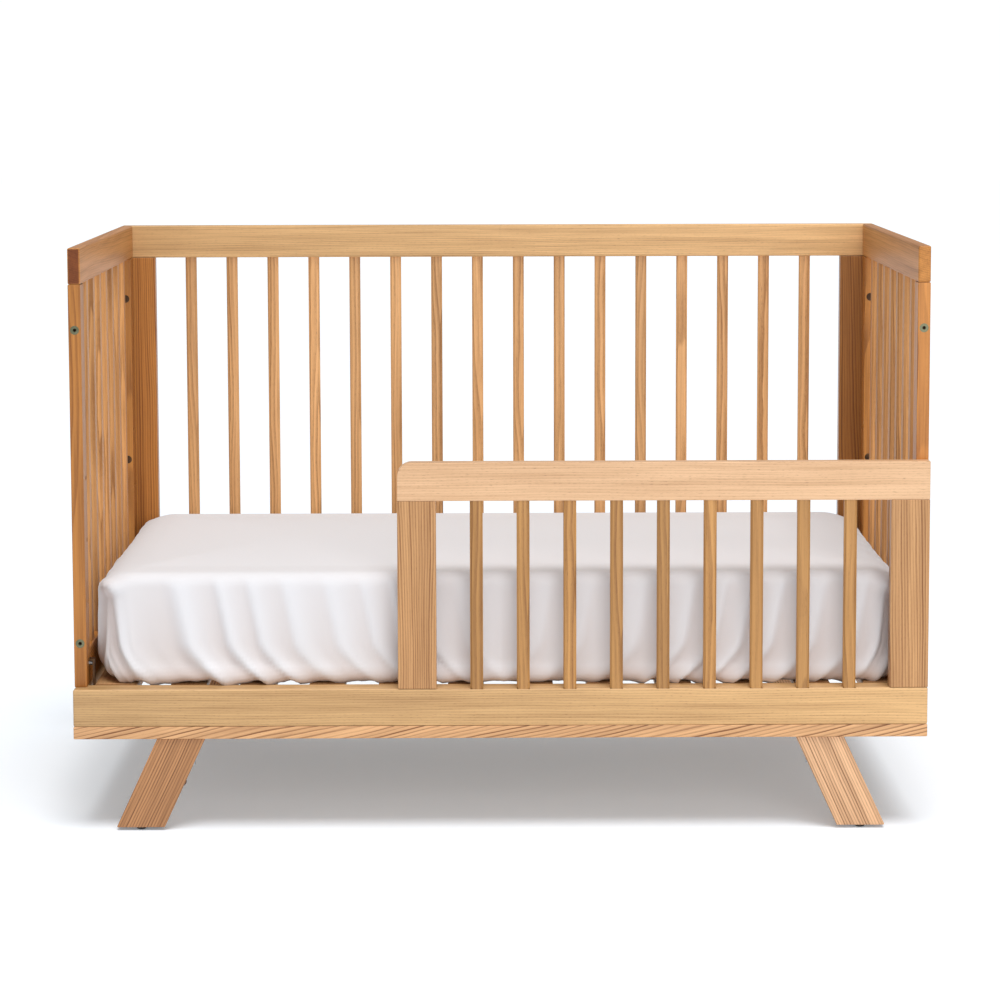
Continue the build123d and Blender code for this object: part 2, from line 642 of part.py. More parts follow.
def bedding():
    """The mattress and the thin sheet around it, tucked under all round."""
    x = (MATTRESS_END_GAP - X_IN, X_IN - MATTRESS_END_GAP)
    y = (Y_FRONT + BASE_RAIL_D + MATTRESS_FRONT_GAP, Y_BACK - MATTRESS_REAR_GAP)
    z_low = Z_DECK + SOFT_GAP + SHEET_T + SOFT_GAP
    z = (z_low, z_low + MATTRESS_H)
    parts["mattress_core"] = pillow(x, y, z, MATTRESS_PLAN_R, MATTRESS_TOP_R, MATTRESS_FOOT_R)
    radii = (MATTRESS_PLAN_R, MATTRESS_TOP_R, MATTRESS_FOOT_R)
    skins = []
    for by in (SOFT_GAP, SOFT_GAP + SHEET_T):
        rounds = [radius + by for radius in radii]
        skins.append(pillow(grown(x, by), grown(y, by), grown(z, by), *rounds))
    window = block(grown(x, -SHEET_HEM), grown(y, -SHEET_HEM), (Z_DECK, z_low + SHEET_T))
    window = fillet(window.edges().filter_by(Axis.Z), MATTRESS_FOOT_R)
    under = block(grown(x, SHEET_T), grown(y, SHEET_T), (Z_DECK, z_low))
    opening = window & under
    parts["fitted_sheet"] = skins[1] - skins[0] - opening


def write():
    """One STEP file for each node."""
    os.makedirs("parts", exist_ok=True)
    for name, solid in parts.items():
        export_step(solid, f"parts/{name}.step")
    for name, solids in groups.items():
        export_step(Compound(children=[Part(one.wrapped) for one in solids]), f"parts/{name}.step")


base_frame()
plinth_screws()
legs()
end_panels()
end_dowels()
front_inserts()
back_panel()
back_bolts()
guard_rail()
guard_bolts()
mattress_support()
bedding()
write()
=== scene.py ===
"""Looks of the baby crib: woods, fixings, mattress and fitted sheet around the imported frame."""

import logging
import math
from dataclasses import dataclass, replace
from enum import Enum
from typing import Mapping, Sequence

import bmesh
import bpy
import numpy as np
from mathutils import Euler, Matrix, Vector


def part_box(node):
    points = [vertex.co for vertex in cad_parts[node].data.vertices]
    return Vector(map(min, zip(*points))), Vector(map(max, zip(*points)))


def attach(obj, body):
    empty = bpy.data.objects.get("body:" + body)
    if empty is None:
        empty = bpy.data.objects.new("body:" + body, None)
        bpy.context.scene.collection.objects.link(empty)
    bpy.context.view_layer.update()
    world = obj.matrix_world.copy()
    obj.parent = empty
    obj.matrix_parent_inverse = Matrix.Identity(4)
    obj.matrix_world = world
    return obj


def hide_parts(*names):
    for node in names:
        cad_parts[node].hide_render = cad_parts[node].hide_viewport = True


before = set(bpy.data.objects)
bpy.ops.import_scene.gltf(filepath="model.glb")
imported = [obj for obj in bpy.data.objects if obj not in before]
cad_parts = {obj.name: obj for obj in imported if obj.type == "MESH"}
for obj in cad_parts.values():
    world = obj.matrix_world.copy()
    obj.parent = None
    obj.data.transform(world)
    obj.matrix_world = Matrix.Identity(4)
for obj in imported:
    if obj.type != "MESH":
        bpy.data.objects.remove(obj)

LOG = logging.getLogger("crib")
Colour = tuple[float, float, float, float]
Socket = bpy.types.NodeSocket


def srgb(red: int, green: int, blue: int) -> Colour:
    """Turns a display colour of 0 to 255 into the linear colour that a shader takes.

    Args:
        red: Red, 0 to 255.
        green: Green, 0 to 255.
        blue: Blue, 0 to 255.

    Returns:
        The linear colour, opaque.
    """
    def linear(level: int) -> float:
        """One channel, display to linear."""
        share = level / 255
        return share / 12.92 if share <= 0.04045 else ((share + 0.055) / 1.055) ** 2.4

    return (linear(red), linear(green), linear(blue), 1.0)


class Grain(Enum):
    """The way that a board's grain runs, as the turn about X, Y and Z that lays it along X."""

    ALONG_X = (0.0, 0.0, 0.0)
    ALONG_Y = (0.0, 0.0, -90.0)
    ALONG_Z = (0.0, 90.0, 0.0)
    LEFT_LEG = (0.0, 65.2, 0.0)
    RIGHT_LEG = (0.0, 114.8, 0.0)
    SLOPING = (0.0, 13.0, 0.0)

    @property
    def turn(self) -> Euler:
        """The turn in radians."""
        return Euler([math.radians(angle) for angle in self.value])


# ---- Node helpers ----
class Graph:
    """Short calls that add and wire the nodes of one tree."""

    def __init__(self, tree: bpy.types.NodeTree) -> None:
        """Keeps the tree that the calls work on."""
        self.tree = tree

    def add(self, kind: str, sockets: Mapping[str | int, object] | None = None,
            **settings: object) -> bpy.types.Node:
        """Adds a node.

        Args:
            kind: The node's type name.
            sockets: Inputs by name or number, each a value or the socket that feeds it.
            **settings: The node's own settings.

        Returns:
            The new node.
        """
        node = self.tree.nodes.new(kind)
        for name, value in settings.items():
            setattr(node, name, value)
        for key, value in (sockets or {}).items():
            if isinstance(value, Socket):
                self.tree.links.new(value, node.inputs[key])
            else:
                node.inputs[key].default_value = value
        return node

    def math(self, operation: str, first: object, second: object = 0.0, clamp: bool = False) -> Socket:
        """Adds a Math node and returns its result.

        Args:
            operation: The operation's name.
            first: First value or socket.
            second: Second value or socket.
            clamp: Whether the result is held between 0 and 1.

        Returns:
            The result socket.
        """
        node = self.add("ShaderNodeMath", {0: first, 1: second}, operation=operation, use_clamp=clamp)
        return node.outputs[0]

    def spread(self, value: Socket, low: object, high: object, to_low: float = 0.0,
               to_high: float = 1.0) -> Socket:
        """Maps a range of a value onto another range, held at its ends.

        Args:
            value: The socket to read.
            low: Where the range starts.
            high: Where the range ends.
            to_low: What the start becomes.
            to_high: What the end becomes.

        Returns:
            The mapped value.
        """
        sockets = {"Value": value, "From Min": low, "From Max": high, "To Min": to_low, "To Max": to_high}
        return self.add("ShaderNodeMapRange", sockets, interpolation_type="SMOOTHSTEP").outputs[0]

    def blend(self, share: object, first: object, second: object, how: str = "MIX") -> Socket:
        """Mixes two colours.

        Args:
            share: How much of the second colour, 0 to 1.
            first: First colour or socket.
            second: Second colour or socket.
            how: The blend type.

        Returns:
            The mixed colour.
        """
        node = self.add("ShaderNodeMix", {0: share, 6: first, 7: second}, data_type="RGBA", blend_type=how)
        return node.outputs[2]

    def noise(self, place: Socket, stretch: tuple[float, float, float], detail: float = 2.0,
              rough: float = 0.5) -> Socket:
        """Adds noise that is stretched along an axis.

        Args:
            place: Where the noise is read, in metres.
            stretch: Waves in a metre along each axis.
            detail: How many finer layers it has.
            rough: How strong the finer layers are.

        Returns:
            The noise, 0 to 1.
        """
        scaled = self.add("ShaderNodeVectorMath", {0: place, 1: stretch}, operation="MULTIPLY")
        sockets = {"Vector": scaled.outputs[0], "Scale": 1.0, "Detail": detail, "Roughness": rough}
        return self.add("ShaderNodeTexNoise", sockets).outputs[0]


class ShaderGroup:
    """A shader node group with named inputs and outputs, built once."""

    TITLE = ""
    INPUTS: Mapping[str, tuple[str, object]] = {}
    OUTPUTS: Mapping[str, str] = {}
    KINDS = {"colour": "NodeSocketColor", "value": "NodeSocketFloat", "vector": "NodeSocketVector"}

    def __init__(self) -> None:
        """Makes the group's sockets and fills it."""
        self.tree = bpy.data.node_groups.new(self.TITLE, "ShaderNodeTree")
        for name, (kind, start) in self.INPUTS.items():
            socket = self.tree.interface.new_socket(name, in_out="INPUT", socket_type=self.KINDS[kind])
            socket.default_value = start
        for name, kind in self.OUTPUTS.items():
            self.tree.interface.new_socket(name, in_out="OUTPUT", socket_type=self.KINDS[kind])
        self.graph = Graph(self.tree)
        self.inputs = self.graph.add("NodeGroupInput").outputs
        made = self.fill()
        self.graph.add("NodeGroupOutput", made)

    def fill(self) -> dict[str, Socket]:
        """Builds the inside and returns what feeds each output."""
        raise NotImplementedError

    def place(self, graph: Graph, sockets: Mapping[str, object]) -> bpy.types.Node:
        """Places the group in a material.

        Args:
            graph: The material's graph.
            sockets: The group's inputs for this material.

        Returns:
            The group node.
        """
        return graph.add("ShaderNodeGroup", sockets, node_tree=self.tree)


class BoardGrain(ShaderGroup):
    """Solid wood: growth rings about a pith line, fibres, pores and darker end grain."""

    TITLE = "Board grain"
    INPUTS = {
        "Place": ("vector", (0.0, 0.0, 0.0)),
        "Facing": ("vector", (0.0, 0.0, 1.0)),
        "Board": ("value", 0.0),
        "Light": ("colour", srgb(222, 180, 132)),
        "Dark": ("colour", srgb(176, 128, 82)),
        "Pore": ("colour", srgb(120, 78, 44)),
        "Ring Width": ("value", 0.004),
        "Wander": ("value", 0.02),
        "Contrast": ("value", 0.5),
        "Line Share": ("value", 0.9),
        "Board Tone": ("value", 0.12),
        "End Shade": ("value", 0.8),
        "Extra Tone": ("value", 0.0),
    }
    OUTPUTS = {"Colour": "colour", "Roughness": "value", "Height": "value"}

    def fill(self) -> dict[str, Socket]:
        """Builds the rings, fibres and pores."""
        g, given = self.graph, self.inputs
        shift = g.add("ShaderNodeCombineXYZ", {
            0: g.math("MULTIPLY", given["Board"], 7.3),
            1: g.math("MULTIPLY", given["Board"], 0.11),
            2: g.math("MULTIPLY", given["Board"], 0.06),
        })
        place = g.add("ShaderNodeVectorMath", {0: given["Place"], 1: shift.outputs[0]}).outputs[0]
        across = g.add("ShaderNodeVectorMath", {0: place, 1: (0.0, 1.0, 1.0)}, operation="MULTIPLY")
        from_pith = g.add("ShaderNodeVectorMath", {0: across.outputs[0]}, operation="LENGTH").outputs["Value"]
        drift = g.noise(place, (1.7, 9.0, 9.0), 1.0)
        sway = g.noise(place, (7.0, 30.0, 30.0), 2.0)
        wander = g.math("MULTIPLY", g.math("SUBTRACT", drift, 0.5), given["Wander"])
        ring_sway = g.math("MULTIPLY", given["Ring Width"], 1.1)
        ripple = g.math("MULTIPLY", g.math("SUBTRACT", sway, 0.5), ring_sway)
        radius = g.math("ADD", g.math("ADD", from_pith, wander), ripple)
        turns = g.math("DIVIDE", radius, given["Ring Width"])
        year = g.add("ShaderNodeTexWhiteNoise", {"W": g.math("FLOOR", turns)}, noise_dimensions="1D")
        part = g.math("FRACT", turns)
        fading = g.spread(part, 0.14, given["Line Share"], 1.0, 0.0)
        early = g.math("MULTIPLY", g.spread(part, 0.0, 0.12), fading)
        strength = g.math("ADD", g.math("MULTIPLY", year.outputs["Value"], 0.75), 0.25)
        rings = g.math("MULTIPLY", early, strength)
        fibres = g.noise(place, (9.0, 520.0, 520.0), 3.0, 0.6)
        streaks = g.noise(place, (2.2, 75.0, 75.0), 2.0, 0.55)
        pores = g.spread(g.noise(place, (130.0, 2100.0, 2100.0), 1.0), 0.58, 0.7)
        pores = g.math("MULTIPLY", pores, g.math("ADD", g.math("MULTIPLY", rings, 0.9), 0.12))
        depth = g.math("ADD", g.math("MULTIPLY", rings, given["Contrast"]),
                       g.math("MULTIPLY", g.math("SUBTRACT", fibres, 0.42), 0.9))
        depth = g.math("ADD", depth, g.math("MULTIPLY", g.math("SUBTRACT", streaks, 0.4), 1.0), clamp=True)
        colour = g.blend(depth, given["Light"], given["Dark"])
        colour = g.blend(g.math("MULTIPLY", pores, 0.7), colour, given["Pore"])
        facing = g.add("ShaderNodeSeparateXYZ", {0: given["Facing"]}).outputs[0]
        ends = g.spread(g.math("ABSOLUTE", facing), 0.8, 0.97)
        colour = g.blend(g.math("MULTIPLY", ends, given["End Shade"]), colour, given["Dark"], "MULTIPLY")
        sort = g.add("ShaderNodeTexWhiteNoise", {"W": given["Board"]}, noise_dimensions="1D").outputs["Value"]
        tone = g.math("MULTIPLY", g.math("SUBTRACT", sort, 0.5), given["Board Tone"])
        patches = g.math("MULTIPLY", g.math("SUBTRACT", drift, 0.5), 0.16)
        tone = g.math("ADD", g.math("ADD", tone, 1.0), patches)
        tone = g.math("ADD", tone, given["Extra Tone"])
        shade = g.add("ShaderNodeVectorMath", {0: colour, 3: tone}, operation="SCALE").outputs[0]
        roughness = g.math("ADD", g.math("MULTIPLY", depth, 0.12), g.math("MULTIPLY", ends, 0.2))
        roughness = g.math("ADD", roughness, 0.36)
        height = g.math("SUBTRACT", g.math("MULTIPLY", fibres, 0.35), pores)
        return {"Colour": shade, "Roughness": roughness, "Height": height}


class PlainWeave(ShaderGroup):
    """Over-and-under threads, slubs and soft creases of a woven cloth."""

    TITLE = "Plain weave"
    INPUTS = {
        "Place": ("vector", (0.0, 0.0, 0.0)),
        "Thread": ("value", 0.0005),
        "Slub": ("value", 0.3),
        "Crease": ("value", 0.3),
    }
    OUTPUTS = {"Shade": "value", "Height": "value"}

    def fill(self) -> dict[str, Socket]:
        """Builds the two sets of threads and what disturbs them."""
        g, given = self.graph, self.inputs
        wavy = g.noise(given["Place"], (90.0, 90.0, 90.0), 1.0)
        apart = g.add("ShaderNodeSeparateXYZ", {0: given["Place"]}).outputs
        sets = []
        for axis in (0, 1):
            strayed = g.math("ADD", apart[axis], g.math("MULTIPLY", wavy, 0.0012))
            count = g.math("DIVIDE", strayed, given["Thread"])
            sets.append((count, g.math("ABSOLUTE", g.math("SINE", g.math("MULTIPLY", count, math.pi)))))
        both = g.math("ADD", g.math("FLOOR", sets[0][0]), g.math("FLOOR", sets[1][0]))
        over = g.math("PINGPONG", both, 1.0)
        warp = g.math("MULTIPLY", sets[0][1], g.math("ADD", g.math("MULTIPLY", over, 0.5), 0.5))
        weft = g.math("MULTIPLY", sets[1][1], g.math("SUBTRACT", 1.0, g.math("MULTIPLY", over, 0.5)))
        threads = g.math("MAXIMUM", warp, weft)
        slubs = g.math("MAXIMUM", g.noise(given["Place"], (12.0, 700.0, 12.0), 1.0),
                       g.noise(given["Place"], (700.0, 12.0, 12.0), 1.0))
        slubs = g.math("MULTIPLY", g.spread(slubs, 0.6, 0.8), given["Slub"])
        creases = g.math("MULTIPLY", g.noise(given["Place"], (11.0, 14.0, 11.0), 4.0, 0.6), given["Crease"])
        height = g.math("ADD", g.math("ADD", threads, slubs), g.math("MULTIPLY", creases, 12.0))
        shade = g.math("SUBTRACT", g.math("ADD", g.math("MULTIPLY", threads, 0.06), 0.94),
                       g.math("MULTIPLY", slubs, 0.05))
        return {"Shade": shade, "Height": height}


class QuiltDiamonds(ShaderGroup):
    """Stitched diamond channels of a quilted ticking."""

    TITLE = "Quilt diamonds"
    INPUTS = {"Place": ("vector", (0.0, 0.0, 0.0)), "Spacing": ("value", 0.06)}
    OUTPUTS = {"Stitch": "value", "Height": "value"}

    def fill(self) -> dict[str, Socket]:
        """Builds two sets of slanted channels and their stitches."""
        g, given = self.graph, self.inputs
        apart = g.add("ShaderNodeSeparateXYZ", {0: given["Place"]}).outputs
        valleys, stitches = [], []
        for operation in ("ADD", "SUBTRACT"):
            line = g.math("DIVIDE", g.math(operation, apart[0], apart[1]), given["Spacing"])
            valley = g.math("ABSOLUTE", g.math("SUBTRACT", g.math("FRACT", line), 0.5))
            other = g.math("SUBTRACT" if operation == "ADD" else "ADD", apart[0], apart[1])
            dash = g.math("FRACT", g.math("MULTIPLY", other, 160.0))
            thread = g.math("MULTIPLY", g.spread(valley, 0.485, 0.495), g.spread(dash, 0.3, 0.4))
            valleys.append(valley)
            stitches.append(thread)
        nearest = g.math("MAXIMUM", valleys[0], valleys[1])
        height = g.spread(nearest, 0.3, 0.5, 1.0, 0.0)
        return {"Stitch": g.math("MAXIMUM", stitches[0], stitches[1]), "Height": height}


class FineSpeckle(ShaderGroup):
    """Small uneven marks of rolled, plated or moulded surfaces."""

    TITLE = "Fine speckle"
    INPUTS = {"Place": ("vector", (0.0, 0.0, 0.0)), "Scale": ("value", 900.0), "Amount": ("value", 0.3)}
    OUTPUTS = {"Mark": "value", "Height": "value"}

    def fill(self) -> dict[str, Socket]:
        """Builds fine grain and broader rubbed patches."""
        g, given = self.graph, self.inputs
        fine = g.add("ShaderNodeTexNoise", {"Vector": given["Place"], "Scale": given["Scale"], "Detail": 3.0})
        broad = g.add("ShaderNodeTexNoise", {"Vector": given["Place"], "Scale": 60.0, "Detail": 2.0})
        mark = g.math("MULTIPLY", g.spread(broad.outputs[0], 0.35, 0.7), given["Amount"])
        return {"Mark": mark, "Height": g.math("MULTIPLY", fine.outputs[0], given["Amount"])}


@dataclass(frozen=True)
class WoodFinish:
    """A lacquered wood: its colours and how its rings lie."""

    name: str
    light: Colour
    dark: Colour
    pore: Colour = srgb(112, 72, 40)
    ring_width: float = 0.0042
    wander: float = 0.03
    contrast: float = 0.55
    line_share: float = 0.9
    board_tone: float = 0.12
    end_shade: float = 0.8
    tone_rise_along_x: float = 0.0
    coat: float = 0.14

    def toned(self, tone: float) -> "WoodFinish":
        """The same finish on a lighter or darker board.

        Args:
            tone: How light it is against the usual board.

        Returns:
            The toned finish.
        """
        def scaled(colour: Colour) -> Colour:
            """One colour, toned."""
            return tuple(min(level * tone, 1.0) for level in colour[:3]) + (1.0,)

        return replace(self, light=scaled(self.light), dark=scaled(self.dark), pore=scaled(self.pore))

    def material(self, node: str, grain: Grain, pith: tuple[float, float, float], centre: Vector,
                 rows: bool = False) -> bpy.types.Material:
        """Makes the finish for one board or row of slats.

        Args:
            node: The board that the material is for.
            grain: Which way the grain runs.
            pith: Along the grain and across it, from the pith line to the board's middle, in metres.
            centre: The board's middle.
            rows: Whether the mesh holds a number for each slat in its "board" attribute.

        Returns:
            The material.
        """
        material, g, surface = blank_material(f"{self.name}_{node}")
        coordinates = g.add("ShaderNodeTexCoord").outputs
        turned = centre.copy()
        turned.rotate(grain.turn)
        place = g.add("ShaderNodeMapping", {
            "Vector": coordinates["Object"], "Rotation": grain.turn, "Location": Vector(pith) - turned,
        })
        facing = g.add("ShaderNodeMapping", {"Vector": coordinates["Normal"], "Rotation": grain.turn},
                       vector_type="VECTOR")
        board = g.add("ShaderNodeAttribute", attribute_name="board").outputs["Fac"] if rows else 0.0
        along = g.add("ShaderNodeSeparateXYZ", {0: coordinates["Object"]}).outputs[0]
        # Boards with a tone rise get lighter towards +X, the right, and darker towards the left.
        wood = BOARD_GRAIN.place(g, {
            "Extra Tone": g.math("MULTIPLY", along, self.tone_rise_along_x) if self.tone_rise_along_x else 0.0,
            "Place": place.outputs[0], "Facing": facing.outputs[0], "Board": board, "Light": self.light,
            "Dark": self.dark, "Pore": self.pore, "Ring Width": self.ring_width, "Wander": self.wander,
            "Contrast": self.contrast, "Line Share": self.line_share, "End Shade": self.end_shade,
            "Board Tone": self.board_tone if rows else 0.0,
        }).outputs
        bump = g.add("ShaderNodeBump", {"Height": wood["Height"], "Strength": 0.35, "Distance": 0.0002})
        feed(g, surface, {
            "Base Color": wood["Colour"], "Roughness": wood["Roughness"], "Normal": bump.outputs[0],
            "Coat Weight": self.coat, "Coat Roughness": 0.28, "Specular IOR Level": 0.32,
        })
        return material


@dataclass(frozen=True)
class ClothFinish:
    """A woven cloth on a piece's own flat map, with an optional quilting and an optional painted shade in its
    fold valleys and at its foot.
    """

    name: str
    colour: Colour
    shadow: Colour
    thread: float = 0.0005
    slub: float = 0.3
    crease: float = 0.1
    quilt: float = 0.0
    painted_hollow_shade: Colour | None = None
    sheen: float = 0.25

    def material(self) -> bpy.types.Material:
        """Makes the cloth's material.

        Returns:
            The material.
        """
        material, g, surface = blank_material(self.name)
        flat = g.add("ShaderNodeUVMap", uv_map="flat").outputs[0]
        weave = PLAIN_WEAVE.place(g, {
            "Place": flat, "Thread": self.thread, "Slub": self.slub, "Crease": self.crease,
        }).outputs
        colour = g.blend(weave["Shade"], self.shadow, self.colour)
        # Painted shade: the cloth is painted darker and warmer in its fold valleys and along its foot. This
        # stands in for shade and for warm light bounced from the wood.
        if self.painted_hollow_shade:
            folds = g.add("ShaderNodeAttribute", attribute_name="fold_shade").outputs["Fac"]
            colour = g.blend(g.math("MULTIPLY", folds, 0.8), colour, self.painted_hollow_shade)
        normal = g.add("ShaderNodeBump", {"Height": weave["Height"], "Strength": 0.3, "Distance": 0.00015})
        if self.quilt:
            stitched = QUILT_DIAMONDS.place(g, {"Place": flat, "Spacing": self.quilt}).outputs
            colour = g.blend(g.math("MULTIPLY", stitched["Stitch"], 0.5), colour, self.shadow)
            normal = g.add("ShaderNodeBump", {
                "Height": stitched["Height"], "Strength": 0.9, "Distance": 0.004, "Normal": normal.outputs[0],
            })
        feed(g, surface, {
            "Base Color": colour, "Roughness": 0.86, "Normal": normal.outputs[0], "Sheen Weight": self.sheen,
            "Sheen Roughness": 0.5, "Specular IOR Level": 0.2,
        })
        return material


@dataclass(frozen=True)
class HardFinish:
    """A metal or moulded plastic with fine marks."""

    name: str
    colour: Colour
    worn: Colour
    metallic: float = 0.0
    roughness: float = 0.4
    amount: float = 0.4

    def material(self) -> bpy.types.Material:
        """Makes the metal's or plastic's material.

        Returns:
            The material.
        """
        material, g, surface = blank_material(self.name)
        place = g.add("ShaderNodeTexCoord").outputs["Object"]
        marks = FINE_SPECKLE.place(g, {"Place": place, "Amount": self.amount}).outputs
        bump = g.add("ShaderNodeBump", {"Height": marks["Height"], "Strength": 0.3, "Distance": 0.0002})
        feed(g, surface, {
            "Base Color": g.blend(marks["Mark"], self.colour, self.worn), "Metallic": self.metallic,
            "Roughness": g.math("ADD", g.math("MULTIPLY", marks["Mark"], 0.3), self.roughness),
            "Normal": bump.outputs[0],
        })
        return material


def blank_material(name: str) -> tuple[bpy.types.Material, Graph, bpy.types.Node]:
    """Makes a material with only its surface shader.

    Args:
        name: The material's name.

    Returns:
        The material, its graph and the surface shader.
    """
    material = bpy.data.materials.new(name)
    material.use_nodes = True
    material.node_tree.nodes.clear()
    graph = Graph(material.node_tree)
    surface = graph.add("ShaderNodeBsdfPrincipled")
    graph.add("ShaderNodeOutputMaterial", {"Surface": surface.outputs[0]})
    return material, graph, surface


def feed(graph: Graph, surface: bpy.types.Node, sockets: Mapping[str, object]) -> None:
    """Sets or wires the inputs of a surface shader.

    Args:
        graph: The material's graph.
        surface: The surface shader.
        sockets: Inputs by name, each a value or the socket that feeds it.
    """
    for name, value in sockets.items():
        if isinstance(value, Socket):
            graph.tree.links.new(value, surface.inputs[name])
        else:
            surface.inputs[name].default_value = value


BOARD_GRAIN = BoardGrain()
PLAIN_WEAVE = PlainWeave()
QUILT_DIAMONDS = QuiltDiamonds()
FINE_SPECKLE = FineSpeckle()

ASH_BASE = WoodFinish("ash_base", srgb(217, 174, 120), srgb(151, 110, 66), wander=0.02, contrast=0.3,
                      tone_rise_along_x=0.2)
ASH_PLINTH = WoodFinish("ash_plinth", srgb(227, 175, 124), srgb(127, 80, 44), ring_width=0.0065, wander=0.035,
                        contrast=0.95, line_share=0.55)
ASH_GUARD = WoodFinish("ash_guard", srgb(230, 187, 145), srgb(180, 134, 92), wander=0.02, contrast=0.25)
ASH_SLAT = WoodFinish("ash_slat", srgb(235, 179, 120), srgb(160, 110, 62), wander=0.03, contrast=0.6,
                      board_tone=0.26)
ASH_PANEL = WoodFinish("ash_panel", srgb(201, 133, 62), srgb(128, 72, 24), contrast=0.8, wander=0.045)
ASH_CAP = replace(ASH_PANEL, name="ash_cap", light=srgb(203, 137, 68), ring_width=0.0036, contrast=0.3,
                  wander=0.03, coat=0.05)
ASH_LEG = WoodFinish("ash_leg", srgb(224, 178, 136), srgb(122, 82, 50), ring_width=0.0046, wander=0.03,
                     contrast=0.9, line_share=0.6)
ASH_DARK_LEG = replace(ASH_LEG, name="ash_dark_leg", light=srgb(205, 147, 98), dark=srgb(110, 68, 37))
ASH_GUARD_SLAT = replace(ASH_SLAT, name="ash_guard_slat", light=srgb(195, 143, 83), dark=srgb(135, 89, 44))
ASH_END_SLAT = replace(ASH_SLAT, name="ash_end_slat", light=srgb(220, 159, 98), dark=srgb(147, 96, 50),
                       coat=0.0)
ASH_BACK_RAIL = replace(ASH_BASE, name="ash_back_rail", contrast=0.4, ring_width=0.0032)
ASH_POST = replace(ASH_PANEL, name="ash_post", light=srgb(206, 155, 103), dark=srgb(136, 88, 47))
POPLAR = WoodFinish("poplar_support", srgb(206, 160, 112), srgb(168, 122, 78), ring_width=0.007,
                    contrast=0.35, coat=0.0)
BEECH = WoodFinish("beech_dowel", srgb(206, 164, 120), srgb(176, 130, 88), ring_width=0.003, contrast=0.25,
                   coat=0.0)
BRONZED_STEEL = HardFinish("bronzed_steel", srgb(70, 52, 40), srgb(128, 96, 66), 0.9, 0.32)
ZINC_STEEL = HardFinish("zinc_steel", srgb(178, 180, 182), srgb(130, 132, 136), 1.0, 0.3)
OLIVE_ZINC = HardFinish("olive_zinc", srgb(104, 106, 82), srgb(150, 146, 118), 0.85, 0.34)
DARK_GLIDE = HardFinish("dark_glide", srgb(44, 38, 36), srgb(74, 64, 58), 0.0, 0.45)
BROWN_PLUG = HardFinish("brown_plug", srgb(84, 52, 36), srgb(110, 74, 52), 0.0, 0.4)
# The sheet's third colour is the painted shade of its fold valleys and foot.
COTTON_SHEET = ClothFinish("cotton_sheet", srgb(226, 224, 226), srgb(200, 196, 198),
                           painted_hollow_shade=srgb(198, 178, 168))
TICKING = ClothFinish("mattress_ticking", srgb(236, 234, 228), srgb(186, 182, 172), thread=0.0009, quilt=0.07)


# ---- Mesh helpers ----
def solid_boxes(node: str) -> list[tuple[Vector, Vector]]:
    """Finds each separate solid of a CAD node.

    Args:
        node: The CAD node.

    Returns:
        The lowest and highest corner of each solid, in order along X, then Y.
    """
    shape = bmesh.new()
    shape.from_mesh(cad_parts[node].data)
    bmesh.ops.remove_doubles(shape, verts=shape.verts, dist=1e-6)
    left, boxes = set(shape.verts), []
    while left:
        island, edge = [], [left.pop()]
        while edge:
            vertex = edge.pop()
            island.append(vertex.co.copy())
            near = {link.other_vert(vertex) for link in vertex.link_edges} & left
            left -= near
            edge.extend(near)
        low = Vector([min(point[axis] for point in island) for axis in range(3)])
        high = Vector([max(point[axis] for point in island) for axis in range(3)])
        boxes.append((low, high))
    shape.free()
    return sorted(boxes, key=lambda ends: (round(ends[0].x, 4), round(ends[0].y, 4), round(ends[0].z, 4)))


def new_piece(name: str, mesh: bpy.types.Mesh) -> bpy.types.Object:
    """Puts a mesh in the scene as a piece at the origin.

    Args:
        name: The piece's name.
        mesh: Its mesh, in the frame's metres.

    Returns:
        The piece.
    """
    piece = bpy.data.objects.new(name, mesh)
    bpy.context.scene.collection.objects.link(piece)
    return piece


def settle(piece: bpy.types.Object, body: str, slot: str, *nodes: str) -> None:
    """Attaches a piece to the body that it rides on and hides the CAD nodes that it stands for.

    Args:
        piece: The finished piece.
        body: The body that it moves with.
        slot: The piece's material slot name; not used.
        *nodes: The CAD nodes that it replaces.
    """
    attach(piece, body)
    if nodes:
        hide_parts(*nodes)


